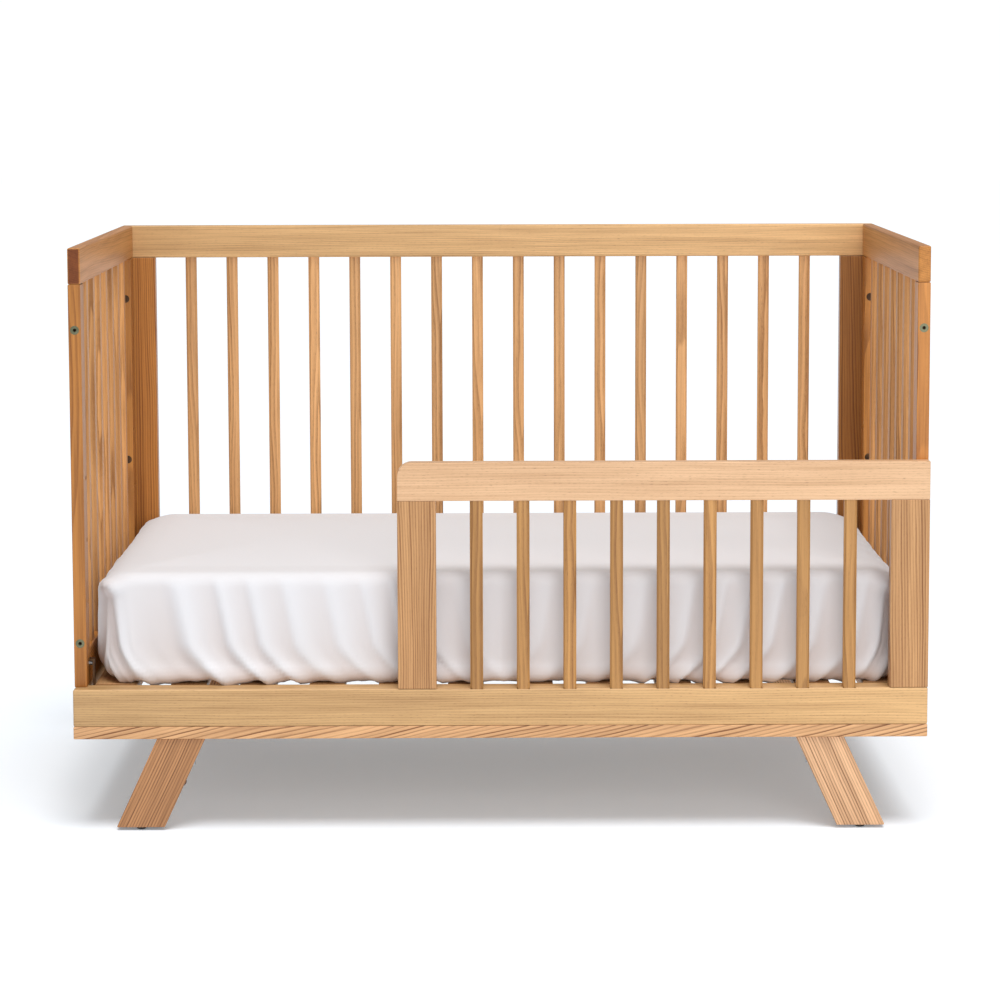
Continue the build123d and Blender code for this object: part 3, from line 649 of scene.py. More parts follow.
# ---- Geometry Nodes for what repeats ----
class RepeatTree:
    """A geometry node tree with named inputs, which ends in Realize Instances and Set Material."""

    TITLE = ""
    INPUTS: Mapping[str, str] = {}

    def __init__(self) -> None:
        """Makes the tree's sockets and fills it."""
        self.tree = bpy.data.node_groups.new(self.TITLE, "GeometryNodeTree")
        interface = self.tree.interface
        interface.new_socket("Geometry", in_out="INPUT", socket_type="NodeSocketGeometry")
        for name, kind in self.INPUTS.items():
            interface.new_socket(name, in_out="INPUT", socket_type=kind)
        interface.new_socket("Material", in_out="INPUT", socket_type="NodeSocketMaterial")
        interface.new_socket("Geometry", in_out="OUTPUT", socket_type="NodeSocketGeometry")
        self.graph = Graph(self.tree)
        self.inputs = self.graph.add("NodeGroupInput").outputs
        placed = self.fill()
        numbered = self.graph.add("GeometryNodeStoreNamedAttribute", {
            "Geometry": placed, "Name": "board", "Value": self.graph.add(
                "FunctionNodeRandomValue", {"Min": 0.0, "Max": 40.0, "Seed": self.inputs["Seed"]}
            ).outputs[1],
        }, domain="INSTANCE", data_type="FLOAT")
        real = self.graph.add("GeometryNodeRealizeInstances", {"Geometry": numbered.outputs[0]})
        dressed = self.graph.add("GeometryNodeSetMaterial", {
            "Geometry": real.outputs[0], "Material": self.inputs["Material"],
        })
        self.graph.add("NodeGroupOutput", {"Geometry": dressed.outputs[0]})

    def fill(self) -> Socket:
        """Builds the instances and returns their socket."""
        raise NotImplementedError

    def run(self, base: bpy.types.Mesh, values: Mapping[str, object],
            material: bpy.types.Material) -> bpy.types.Mesh:
        """Runs the tree on a mesh and takes the plain mesh that comes out.

        Args:
            base: The mesh that the tree starts from.
            values: Its inputs by name.
            material: The material that it sets.

        Returns:
            The finished mesh.
        """
        carrier = new_piece(f"{self.TITLE} carrier", base)
        modifier = carrier.modifiers.new(self.TITLE, "NODES")
        modifier.node_group = self.tree
        identifiers = {item.name: item.identifier for item in self.tree.interface.items_tree
                       if item.in_out == "INPUT"}
        for name, value in {**values, "Material": material}.items():
            modifier[identifiers[name]] = value
        bpy.context.view_layer.update()
        graph = bpy.context.evaluated_depsgraph_get()
        mesh = bpy.data.meshes.new_from_object(carrier.evaluated_get(graph), depsgraph=graph)
        carrier.modifiers.remove(modifier)
        bpy.data.objects.remove(carrier)
        return mesh


class SlatTree(RepeatTree):
    """A row of slats: each is a chamfered outline swept along its length."""

    TITLE = "Slat row"
    INPUTS = {
        "Count": "NodeSocketInt", "First": "NodeSocketVector", "Step": "NodeSocketVector",
        "Width": "NodeSocketFloat", "Thickness": "NodeSocketFloat", "Length": "NodeSocketVector",
        "Chamfer": "NodeSocketFloat", "Softening": "NodeSocketFloat", "Seed": "NodeSocketInt",
    }

    def fill(self) -> Socket:
        """Builds the outline, sweeps it and repeats it along the row."""
        g, given = self.graph, self.inputs
        outline = g.add("GeometryNodeCurvePrimitiveQuadrilateral", {
            "Width": given["Width"], "Height": given["Thickness"],
        }).outputs[0]
        for radius, count in ((given["Chamfer"], 1), (given["Softening"], 2)):
            outline = g.add("GeometryNodeFilletCurve", {
                "Curve": outline, "Radius": radius, "Count": count, "Limit Radius": True,
            }, mode="POLY").outputs[0]
        line = g.add("GeometryNodeCurvePrimitiveLine", {"End": given["Length"]}).outputs[0]
        slat = g.add("GeometryNodeCurveToMesh", {
            "Curve": line, "Profile Curve": outline, "Fill Caps": True,
        }).outputs[0]
        row = g.add("GeometryNodeMeshLine", {
            "Count": given["Count"], "Start Location": given["First"], "Offset": given["Step"],
        }, mode="OFFSET").outputs[0]
        return g.add("GeometryNodeInstanceOnPoints", {"Points": row, "Instance": slat}).outputs[0]


class ScrewTree(RepeatTree):
    """Countersunk screws with a cross recess, one at each point of the mesh that it is given."""

    TITLE = "Countersunk screws"
    INPUTS = {
        "Head": "NodeSocketFloat", "Shank": "NodeSocketFloat", "Sink": "NodeSocketFloat",
        "Length": "NodeSocketFloat", "Turn": "NodeSocketRotation", "Seed": "NodeSocketInt",
    }
    BAR_REACH = 1.25
    BAR_WIDTH = 0.26
    POINT_SHARE = 0.35

    def fill(self) -> Socket:
        """Builds the head, its cross recess, the shank and the point, and repeats the screw."""
        g, given = self.graph, self.inputs
        down = g.math("MULTIPLY", given["Sink"], -0.5)
        cone = g.add("GeometryNodeMeshCone", {
            "Vertices": 20, "Radius Top": given["Head"], "Radius Bottom": given["Shank"],
            "Depth": given["Sink"],
        }, fill_type="NGON").outputs[0]
        lowered = g.math("MULTIPLY", given["Sink"], -1.0)
        cone = self.moved(cone, lowered)
        bars = g.add("GeometryNodeJoinGeometry")
        for across in ((self.BAR_REACH, self.BAR_WIDTH), (self.BAR_WIDTH, self.BAR_REACH)):
            size = g.add("ShaderNodeCombineXYZ", {
                0: g.math("MULTIPLY", given["Head"], across[0]),
                1: g.math("MULTIPLY", given["Head"], across[1]), 2: given["Sink"],
            }).outputs[0]
            bar = g.add("GeometryNodeMeshCube", {"Size": size}).outputs[0]
            g.tree.links.new(self.moved(bar, g.math("MULTIPLY", down, 0.1)), bars.inputs[0])
        head = g.add("GeometryNodeMeshBoolean", {"Mesh 1": cone, "Mesh 2": bars.outputs[0]},
                     operation="DIFFERENCE").outputs[0]
        straight = g.math("SUBTRACT", given["Length"], given["Sink"])
        shank = g.add("GeometryNodeMeshCone", {
            "Vertices": 12, "Radius Top": given["Shank"], "Depth": straight,
            "Radius Bottom": g.math("MULTIPLY", given["Shank"], self.POINT_SHARE),
        }, fill_type="NGON").outputs[0]
        screw = g.add("GeometryNodeJoinGeometry")
        g.tree.links.new(head, screw.inputs[0])
        g.tree.links.new(self.moved(shank, g.math("MULTIPLY", given["Length"], -1.0)), screw.inputs[0])
        return g.add("GeometryNodeInstanceOnPoints", {
            "Points": given["Geometry"], "Instance": screw.outputs[0], "Rotation": given["Turn"],
        }).outputs[0]

    def moved(self, shape: Socket, rise: Socket) -> Socket:
        """Moves a shape up or down.

        Args:
            shape: The shape to move.
            rise: How far up.

        Returns:
            The moved shape.
        """
        offset = self.graph.add("ShaderNodeCombineXYZ", {2: rise}).outputs[0]
        return self.graph.add("GeometryNodeTransform", {"Geometry": shape, "Translation": offset}).outputs[0]


SLAT_TREE = SlatTree()
SCREW_TREE = ScrewTree()


@dataclass
class SlatRow:
    """A row of slats in place of its CAD node."""

    node: str
    body: str
    slot: str
    finish: WoodFinish
    grain: Grain = Grain.ALONG_Z
    chamfer: float = 0.0035
    softening: float = 0.0006
    pith: tuple[float, float, float] = (0.0, 0.3, 0.1)
    seed: int = 1

    def build(self) -> bpy.types.Object:
        """Builds the row from the places and sizes of the frame's own slats.

        Returns:
            The row, riding on its body.
        """
        boxes = solid_boxes(self.node)
        low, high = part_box(self.node)
        material = self.finish.material(self.node, self.grain, self.pith, (low + high) / 2, rows=True)
        merged = bmesh.new()
        groups: dict[tuple[float, ...], list[tuple[Vector, Vector]]] = {}
        for ends in boxes:
            groups.setdefault(tuple(round(side, 4) for side in ends[1] - ends[0]), []).append(ends)
        for number, (size, row) in enumerate(groups.items()):
            mesh = self.row_mesh(Vector(size), row, material, self.seed + number)
            merged.from_mesh(mesh)
            bpy.data.meshes.remove(mesh)
        bmesh.ops.recalc_face_normals(merged, faces=merged.faces)
        whole = bpy.data.meshes.new(self.node + "_row")
        merged.to_mesh(whole)
        merged.free()
        whole.materials.append(material)
        piece = new_piece(self.node + "_row", whole)
        settle(piece, self.body, self.slot, self.node)
        return piece

    def row_mesh(self, size: Vector, row: Sequence[tuple[Vector, Vector]], material: bpy.types.Material,
                 seed: int) -> bpy.types.Mesh:
        """Runs the slat tree for the slats of one size.

        Args:
            size: Size of each slat along X, Y and Z.
            row: The lowest and highest corner of each slat.
            material: The row's material.
            seed: Seed of the number that each slat gets.

        Returns:
            The mesh of those slats.
        """
        along = max(range(3), key=lambda axis: size[axis])
        length = Vector([size[axis] if axis == along else 0.0 for axis in range(3)])
        starts = [(low + high) / 2 - length / 2 for low, high in row]
        step = (starts[-1] - starts[0]) / max(len(starts) - 1, 1)
        width, thickness = (size.x, size.y) if along == 2 else (size.x, size.z)
        values = {
            "Count": len(starts), "First": starts[0], "Step": step, "Width": width, "Thickness": thickness,
            "Length": length, "Chamfer": self.chamfer, "Softening": self.softening, "Seed": seed,
        }
        return SLAT_TREE.run(bpy.data.meshes.new("row start"), values, material)


@dataclass
class ScrewSet:
    """Countersunk screws in place of their CAD node."""

    node: str
    body: str
    slot: str
    finish: HardFinish
    faces_down: bool = False
    head: float = 0.004
    shank: float = 0.002
    sink: float = 0.0025
    seed: int = 5

    def build(self) -> bpy.types.Object:
        """Builds a screw where the frame has one.

        Returns:
            The screws, riding on their body.
        """
        boxes = solid_boxes(self.node)
        seats = bpy.data.meshes.new("screw seats")
        heights = [low.z if self.faces_down else high.z for low, high in boxes]
        seats.from_pydata([((low.x + high.x) / 2, (low.y + high.y) / 2, height)
                           for (low, high), height in zip(boxes, heights)], [], [])
        length = boxes[0][1].z - boxes[0][0].z
        values = {
            "Head": self.head, "Shank": self.shank, "Sink": self.sink, "Length": length,
            "Turn": (math.pi if self.faces_down else 0.0, 0.0, 0.0), "Seed": self.seed,
        }
        piece = new_piece(self.node + "_set", SCREW_TREE.run(seats, values, self.finish.material()))
        settle(piece, self.body, self.slot, self.node)
        return piece


# ---- Sub-assemblies of the wooden frame ----
@dataclass(frozen=True)
class Board:
    """One board of the frame: its grain and where it was cut from the log."""

    node: str
    finish: WoodFinish
    grain: Grain
    pith: tuple[float, float, float]
    tone: float = 1.0

    def dress(self) -> None:
        """Gives the board its own piece of wood."""
        low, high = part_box(self.node)
        finish = self.finish.toned(self.tone)
        put_on(self.node, finish.material(self.node, self.grain, self.pith, (low + high) / 2))


def put_on(node: str, material: bpy.types.Material) -> None:
    """Gives a CAD node one material.

    Args:
        node: The CAD node.
        material: Its material.
    """
    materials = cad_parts[node].data.materials
    materials.clear()
    materials.append(material)


@dataclass
class BaseFrame:
    """Base rails, plinth boards and their screws."""

    rail_pith: float = 0.34
    plinth_pith: float = 0.24

    def dress(self) -> None:
        """Gives each board its wood."""
        for number, end in enumerate(("front", "rear")):
            Board(f"base_{end}_rail", ASH_BASE, Grain.ALONG_X, (0.4 + number, 0.05, self.rail_pith)).dress()
            Board(f"plinth_{end}_board", ASH_PLINTH, Grain.SLOPING,
                  (2.3 + number, 0.03, self.plinth_pith)).dress()
        for number, side in enumerate(("left", "right")):
            Board(f"base_{side}_rail", ASH_BASE, Grain.ALONG_Y, (4.1 + number, 0.03, self.rail_pith)).dress()
            Board(f"plinth_{side}_board", ASH_PLINTH, Grain.ALONG_Y,
                  (6.2 + number, self.plinth_pith, 0.02)).dress()

    def build(self) -> list[bpy.types.Object]:
        """Builds the plinth's screws.

        Returns:
            The new pieces.
        """
        return [ScrewSet("plinth_screws", "frame", "zinc_steel", ZINC_STEEL, faces_down=True).build()]


@dataclass
class Legs:
    """Four splayed legs, their glides, plug and hanger bolts."""

    pith: float = 0.21
    left_tone: float = 0.86
    right_tone: float = 1.18

    def dress(self) -> None:
        """Gives each leg its wood and the small parts their finish."""
        for number, (end, side) in enumerate((e, s) for e in ("front", "rear") for s in ("left", "right")):
            left = side == "left"
            grain = Grain.LEFT_LEG if left else Grain.RIGHT_LEG
            finish, tone = (ASH_DARK_LEG, self.left_tone) if left else (ASH_LEG, self.right_tone)
            Board(f"leg_{end}_{side}", finish, grain, (0.9 * number + 0.3, 0.03, self.pith), tone).dress()
        put_on("glide_feet", DARK_GLIDE.material())
        put_on("leg_edge_plug", BROWN_PLUG.material())
        put_on("leg_hanger_bolts", ZINC_STEEL.material())


@dataclass
class EndPanels:
    """The two slatted end panels."""

    pith: float = 0.3
    left_tone: float = 0.9
    right_tone: float = 1.1
    left_end_shade: float = 0.85
    seed: int = 11

    def dress(self) -> None:
        """Gives each board of both panels its wood."""
        for number, side in enumerate(("left", "right")):
            start = 1.7 * number
            tone = self.left_tone if side == "left" else self.right_tone
            cap = replace(ASH_CAP, end_shade=self.left_end_shade if side == "left" else 0.0)
            Board(f"{side}_cap_rail", cap, Grain.ALONG_Y, (start, 0.02, -0.075)).dress()
            Board(f"{side}_bottom_rail", ASH_PANEL, Grain.ALONG_Y, (start + 1.0, 0.05, self.pith)).dress()
            for end, shift in (("front", 2.0), ("rear", 3.0)):
                Board(f"{side}_{end}_stile", ASH_PANEL, Grain.ALONG_Z, (start + shift, self.pith, 0.05),
                      tone).dress()
        put_on("front_inserts", OLIVE_ZINC.material())

    def build(self) -> list[bpy.types.Object]:
        """Builds the slats of both panels.

        Returns:
            The new pieces.
        """
        return [SlatRow(f"{side}_end_slats", "frame", "ash_slat", ASH_END_SLAT, pith=(0.0, 0.06, 0.3),
                        seed=self.seed + number).build() for number, side in enumerate(("left", "right"))]


@dataclass
class BackPanel:
    """The slatted back panel and its bolts."""

    rail_tone: float = 1.17
    right_stile_tone: float = 0.74
    seed: int = 21

    def dress(self) -> None:
        """Gives each board of the panel its wood and the bolts their finish."""
        Board("back_top_rail", ASH_BACK_RAIL, Grain.ALONG_X, (3.3, 0.04, 0.3), self.rail_tone).dress()
        Board("back_bottom_rail", ASH_PANEL, Grain.ALONG_X, (5.4, 0.04, 0.3)).dress()
        for number, side in enumerate(("left", "right")):
            tone = 1.0 if side == "left" else self.right_stile_tone
            Board(f"back_{side}_stile", ASH_PANEL, Grain.ALONG_Z, (number + 7.7, 0.05, 0.24), tone).dress()
        for node in ("back_panel_bolts", "back_panel_nuts"):
            put_on(node, BRONZED_STEEL.material())

    def build(self) -> list[bpy.types.Object]:
        """Builds the panel's slats.

        Returns:
            The new pieces.
        """
        return [SlatRow("back_slats", "frame", "ash_slat", ASH_SLAT, seed=self.seed).build()]


@dataclass
class GuardRail:
    """The half-length guard at the front."""

    seed: int = 31

    def dress(self) -> None:
        """Gives the guard's boards their wood and its bolts their finish."""
        Board("guard_top_rail", ASH_GUARD, Grain.ALONG_X, (1.2, 0.03, 0.36)).dress()
        for number, side in enumerate(("left", "right")):
            Board(f"guard_{side}_post", ASH_POST, Grain.ALONG_Z, (number + 4.4, 0.04, 0.2)).dress()
        for node in ("guard_bolts", "guard_barrel_nuts"):
            put_on(node, BRONZED_STEEL.material())

    def build(self) -> list[bpy.types.Object]:
        """Builds the guard's slats.

        Returns:
            The new pieces.
        """
        return [SlatRow("guard_slats", "frame", "ash_slat", ASH_GUARD_SLAT, seed=self.seed).build()]


@dataclass
class MattressSupport:
    """The slatted platform with its runners, screws and hangers."""

    chamfer: float = 0.0012
    softening: float = 0.0003
    seed: int = 41

    def dress(self) -> None:
        """Gives the runners their wood and the hangers and pins their metal."""
        for number, place in enumerate(("front", "middle", "rear")):
            Board(f"support_{place}_runner", POPLAR, Grain.ALONG_X, (number + 0.5, 0.03, 0.22)).dress()
        put_on("support_hangers", BRONZED_STEEL.material())
        put_on("support_pins", ZINC_STEEL.material())

    def build(self) -> list[bpy.types.Object]:
        """Builds the platform's slats and screws.

        Returns:
            The new pieces.
        """
        slats = SlatRow("support_slats", "mattress_support", "poplar_support", POPLAR, Grain.ALONG_Y,
                        chamfer=self.chamfer, softening=self.softening, pith=(0.0, 0.05, 0.12),
                        seed=self.seed).build()
        screws = ScrewSet("support_screws", "mattress_support", "zinc_steel", ZINC_STEEL).build()
        return [slats, screws]


@dataclass
class HiddenJoinery:
    """Dowels inside the joints."""

    def dress(self) -> None:
        """Gives the dowels their wood."""
        turns = {"base_dowels": Grain.ALONG_Y, "end_panel_dowels": Grain.ALONG_Z,
                 "back_panel_dowels": Grain.ALONG_Z, "guard_dowels": Grain.ALONG_Z}
        for number, (node, grain) in enumerate(turns.items()):
            Board(node, BEECH, grain, (number + 0.2, 0.05, 0.2)).dress()


# ---- Mattress and fitted sheet ----
@dataclass
class PillowForm:
    """The form of the mattress: a rounded rectangle in plan, with a crowned top and soft edges.

    A flat cloth is laid over the middle and wrapped outwards from an inner rectangle, down the side
    and under.
    """

    low: Vector
    high: Vector
    plan_radius: float = 0.062
    crown: float = 0.006
    shoulder: float = 0.031
    roll: float = 0.036
    under: float = 0.055
    foot: float = 0.026
    end_foot: tuple[float, float] = (0.054, 0.044)
    end_shoulder: tuple[float, float] = (0.056, 0.038)
    top_step: float = 0.013
    side_step: float = 0.0062

    @property
    def middle(self) -> Vector:
        """The middle of the form."""
        return (self.low + self.high) / 2

    @property
    def inner(self) -> tuple[float, float]:
        """Half sizes of the inner rectangle."""
        half = (self.high - self.low) / 2
        return half.x - self.plan_radius, half.y - self.plan_radius

    def profile(self, end: bool = False) -> tuple[np.ndarray, np.ndarray, np.ndarray]:
        """The line from the inner rectangle outwards, down the side and under.

        Args:
            end: Whether it is the line over an end, whose foot is rounder than that of a long side.

        Returns:
            The length along it, the distance out and the height at each of its points.
        """
        outer, rise = self.plan_radius, self.high.z - self.crown
        foot_in, foot_rise = self.end_foot if end else (self.foot, self.foot)
        roll, drop = self.end_shoulder if end else (self.roll, self.shoulder)
        quarter = np.linspace(0, math.pi / 2, 14)
        shoulder_out = outer - roll + roll * np.sin(quarter)
        shoulder_up = rise - drop + drop * np.cos(quarter)
        foot_out = outer - foot_in + foot_in * np.cos(quarter)
        foot_up = self.low.z + foot_rise - foot_rise * np.sin(quarter)
        reach = max(outer - max(self.under, foot_in), 0.0)
        out = np.concatenate(([0.0, 0.5 * (outer - roll)], shoulder_out, foot_out, [reach]))
        up = np.concatenate(([rise + 0.001, rise + 0.0008], shoulder_up, foot_up, [self.low.z]))
        steps = np.hypot(np.diff(out), np.diff(up))
        return np.concatenate(([0.0], np.cumsum(steps))), out, up

    def lines(self, half: float, reach: float, step: float) -> np.ndarray:
        """Places of the grid lines along one axis of the flat cloth.

        Args:
            half: Half size of the inner rectangle on that axis.
            reach: How far the cloth goes beyond it.
            step: Largest step between the lines of the inner rectangle.

        Returns:
            The places, from one edge of the cloth to the other.
        """
        sides = np.arange(half, half + reach, self.side_step)
        count = max(2, round(2 * half / step))
        top = np.linspace(-half, half, count + 1)[1:-1]
        return np.concatenate((-sides[::-1], top, sides))

    def cloth_mesh(self, name: str, fine_x: float = 0.0) -> bpy.types.Mesh:
        """Makes the wrapped cloth with its flat map.

        Args:
            name: The mesh's name.
            fine_x: Largest step between the lines along the crib, or 0 for the usual step.

        Returns:
            The mesh, open underneath.
        """
        length, out, up = self.profile()
        reach = length[-1]
        half_x, half_y = self.inner
        lines_x = self.lines(half_x, reach, fine_x or self.top_step)
        lines_y = self.lines(half_y, reach, self.top_step)
        flat_x, flat_y = np.meshgrid(lines_x, lines_y, indexing="ij")
        near_x, near_y = np.clip(flat_x, -half_x, half_x), np.clip(flat_y, -half_y, half_y)
        off_x, off_y = flat_x - near_x, flat_y - near_y
        beyond = np.hypot(off_x, off_y)
        held = np.minimum(beyond, reach)
        end_length, end_out, end_up = self.profile(end=True)
        at_end = held * end_length[-1] / reach
        to_end = (off_x / np.maximum(beyond, 1e-9)) ** 2
        spread = (1 - to_end) * np.interp(held, length, out) + to_end * np.interp(at_end, end_length, end_out)
        scale = np.where(beyond > 1e-9, spread / np.maximum(beyond, 1e-9), 0.0)
        high = (1 - to_end) * np.interp(held, length, up) + to_end * np.interp(at_end, end_length, end_up)
        inside = beyond <= 1e-9
        edge = np.minimum(half_x - np.abs(near_x), half_y - np.abs(near_y))
        high = high + np.where(inside, self.crown * (1 - np.exp(-edge / 0.11)), 0.0)
        wide, deep = near_x + off_x * scale + self.middle.x, near_y + off_y * scale + self.middle.y
        points = np.stack((wide, deep, high), -1)
        rows, columns = flat_x.shape
        kept = beyond < reach + 0.6 * self.side_step
        number = np.arange(rows * columns).reshape(rows, columns)
        faces = [
            (number[i, j], number[i + 1, j], number[i + 1, j + 1], number[i, j + 1])
            for i in range(rows - 1) for j in range(columns - 1)
            if kept[i:i + 2, j:j + 2].all()
        ]
        mesh = bpy.data.meshes.new(name)
        mesh.from_pydata(points.reshape(-1, 3).tolist(), [], [tuple(int(n) for n in face) for face in faces])
        layer = mesh.uv_layers.new(name="flat")
        corner = np.zeros(len(mesh.loops), dtype=np.int32)
        mesh.loops.foreach_get("vertex_index", corner)
        flat = np.stack((flat_x.reshape(-1), flat_y.reshape(-1)), -1)
        layer.data.foreach_set("uv", flat[corner].astype(np.float32).reshape(-1))
        drop_loose(mesh)
        return mesh


def ramp(value: np.ndarray, start: float, length: float) -> np.ndarray:
    """A number that goes from 0 to 1 while the value goes on from its start.

    Args:
        value: The values.
        start: Where the ramp starts.
        length: How far the value goes until the ramp is at 1.

    Returns:
        The ramp at each value, held within 0 and 1.
    """
    return np.clip((value - start) / length, 0, 1)


def drop_loose(mesh: bpy.types.Mesh) -> None:
    """Removes points that no face uses and shades the faces smooth.

    Args:
        mesh: The mesh to clean.
    """
    shape = bmesh.new()
    shape.from_mesh(mesh)
    bmesh.ops.delete(shape, geom=[v for v in shape.verts if not v.link_faces], context="VERTS")
    shape.to_mesh(mesh)
    shape.free()
    mesh.polygons.foreach_set("use_smooth", [True] * len(mesh.polygons))


def apply_modifiers(piece: bpy.types.Object) -> None:
    """Replaces a piece's mesh by what its modifiers make, and removes them.

    Args:
        piece: The piece.
    """
    graph = bpy.context.evaluated_depsgraph_get()
    mesh = bpy.data.meshes.new_from_object(piece.evaluated_get(graph), depsgraph=graph)
    piece.modifiers.clear()
    piece.data = mesh


@dataclass
class Mattress:
    """The foam mattress in quilted ticking."""

    fill: float = 0.9
    inset: float = 0.0055
    settled: float = 0.004

    def build(self) -> bpy.types.Object:
        """Builds the closed mattress.

        Returns:
            The mattress, riding on its body.
        """
        low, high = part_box("mattress_core")
        inset = Vector((self.inset, self.inset, 0.0))
        low, high = low + inset, high - inset - Vector((0, 0, self.settled))
        form = PillowForm(low, high, crown=0.004, under=0.062, side_step=0.012, top_step=0.02)
        mesh = form.cloth_mesh("mattress_core_quilted")
        shape = bmesh.new()
        shape.from_mesh(mesh)
        bmesh.ops.remove_doubles(shape, verts=shape.verts, dist=1e-5)
        rim = [edge for edge in shape.edges if edge.is_boundary]
        bmesh.ops.contextual_create(shape, geom=rim)
        bmesh.ops.recalc_face_normals(shape, faces=shape.faces)
        shape.to_mesh(mesh)
        shape.free()
        mesh.materials.append(TICKING.material())
        piece = new_piece("mattress_quilted", mesh)
        settle(piece, "mattress", "mattress_ticking", "mattress_core")
        return piece


@dataclass
class FittedSheet:
    """The fitted sheet, with the folds that its elastic hem pulls."""

    thickness: float = 0.0008
    crown_rise: float = 0.006
    fold_depth: float = 0.013
    fold_width: float = 0.066
    crease_depth: float = 0.002
    steep_share: float = 0.26
    below_crown: float = 0.018
    side_lean: float = 0.034
    foot_lean: float = 0.050
    ear: float = 0.012
    ear_drop: float = 0.036
    ear_height: float = 0.010
    sag: float = 0.01
    waves: tuple[tuple[float, float, int], ...] = ((9.0, 0.45, 1), (23.0, 0.2, 2))
    clearance: float = 0.0006
    seed: float = 3.7

    def build(self) -> bpy.types.Object:
        """Builds the sheet around the mattress.

        Returns:
            The sheet, riding on the mattress's body.
        """
        low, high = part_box("fitted_sheet")
        form = PillowForm(low + Vector((0, 0, self.clearance)), high + Vector((0, 0, self.crown_rise)),
                          crown=0.013, shoulder=0.019, roll=0.021, foot=0.015)
        mesh = form.cloth_mesh("fitted_sheet_cloth", fine_x=0.0052)
        self.gather(mesh, form)
        mesh.materials.append(COTTON_SHEET.material())
        piece = new_piece("fitted_sheet_cloth", mesh)
        solid = piece.modifiers.new("thickness", "SOLIDIFY")
        solid.thickness = self.thickness
        solid.offset = -1.0
        apply_modifiers(piece)
        settle(piece, "mattress", "cotton_sheet", "fitted_sheet")
        return piece

    def gather(self, mesh: bpy.types.Mesh, form: PillowForm) -> None:
        """Moves the cloth out and in along the folds that run down its sides, and stores how much painted
        shade the cloth gets in the fold valleys and at its foot.

        Args:
            mesh: The wrapped cloth.
            form: The form that it is wrapped on.
        """
        count = len(mesh.vertices)
        places = np.zeros(count * 3)
        mesh.vertices.foreach_get("co", places)
        places = places.reshape(-1, 3)
        normals = np.array([vertex.normal for vertex in mesh.vertices])
        half_x, half_y = form.inner
        near_x = np.clip(places[:, 0] - form.middle.x, -half_x, half_x)
        near_y = np.clip(places[:, 1] - form.middle.y, -half_y, half_y)
        reach_x = places[:, 0] - form.middle.x - near_x
        reach_y = places[:, 1] - form.middle.y - near_y
        drop = form.high.z - places[:, 2]
        full_drop = form.high.z - form.low.z - self.below_crown
        depth = ramp(drop, self.below_crown, full_drop)
        side = ramp(drop, 0.014, 0.022)
        on_long_side = np.abs(normals[:, 1]) > np.abs(normals[:, 0])
        around = np.where(on_long_side, near_x, near_y)
        around = around + form.plan_radius * 1.6 * np.arctan2(reach_y, reach_x)
        lean = np.where(near_x > 0, -1.0, 1.0)
        at_foot = ramp(depth, 0.62, 0.38) ** 1.6
        sweep = lean * (self.side_lean * depth + self.foot_lean * at_foot)
        lay = around - sweep * np.where(on_long_side, 1, -0.6)
        wobble = sum(size * np.sin(lay * rate + step * self.seed) for rate, size, step in self.waves)
        pleats = self.pleats(lay / self.fold_width + wobble, lean)
        finer = 2.6 * lay / self.fold_width + 1.7 * wobble + 0.3 * np.sin(lay * 31.0)
        creases = self.pleats(finer, lean)
        to_corner = ramp(np.abs(near_x) - half_x, -0.62, 0.5)
        strength = side * (0.3 + 0.7 * depth ** 0.7) * (0.3 + 0.7 * to_corner)
        uneven = 0.7 + 0.3 * np.sin(lay * 14.1 + 1.3 * self.seed)
        move = self.fold_depth * strength * uneven * (pleats - 0.35)
        move += self.crease_depth * strength * depth ** 1.5 * (creases - 0.4)
        diagonal = np.minimum(np.abs(reach_x), np.abs(reach_y)) / form.plan_radius
        flap = np.exp(-((self.ear_drop - drop) / self.ear_height) ** 2)
        move += self.ear * flap * ramp(diagonal, 0, 0.6) ** 2
        slack = ramp(depth, 0.8, 0.14) * (0.6 + 0.4 * np.sin(near_x * 16.0 + 2.1))
        forward = np.clip(-normals[:, 1] + 0.35, 0, 1) * (normals[:, 1] < 0)
        places[:, 1] -= self.sag * slack * forward * (1 - 0.7 * diagonal)
        mesh.vertices.foreach_set("co", (places + normals * move[:, None]).reshape(-1))
        # Painted shade: how much darker, warmer colour goes into the fold valleys and along the foot. This
        # stands in for shade and for light bounced from the wood.
        valleys = np.clip(strength * (0.8 - pleats), 0, 1) * 0.8
        painted_hollow_shade = valleys + ramp(depth, 0.84, 0.16) * 0.75
        shaded = mesh.attributes.new("fold_shade", "FLOAT", "POINT")
        shaded.data.foreach_set("value", np.clip(painted_hollow_shade, 0, 1).astype(np.float32))
        mesh.update()

    def pleats(self, phase: np.ndarray, lean: np.ndarray) -> np.ndarray:
        """Rounded pleats with a steep and a gentle flank.

        Args:
            phase: How many pleats lie before each point.
            lean: Which way the gentle flank falls, 1 or -1.

        Returns:
            The height of the pleat at each point, 0 to 1.
        """
        part = np.mod(phase * lean, 1.0)
        steep = ramp(part, 0, self.steep_share)
        gentle = ramp(1 - part, 0, 1 - self.steep_share)
        return np.where(part < self.steep_share, steep ** 2 * (3 - 2 * steep), gentle ** 1.5)


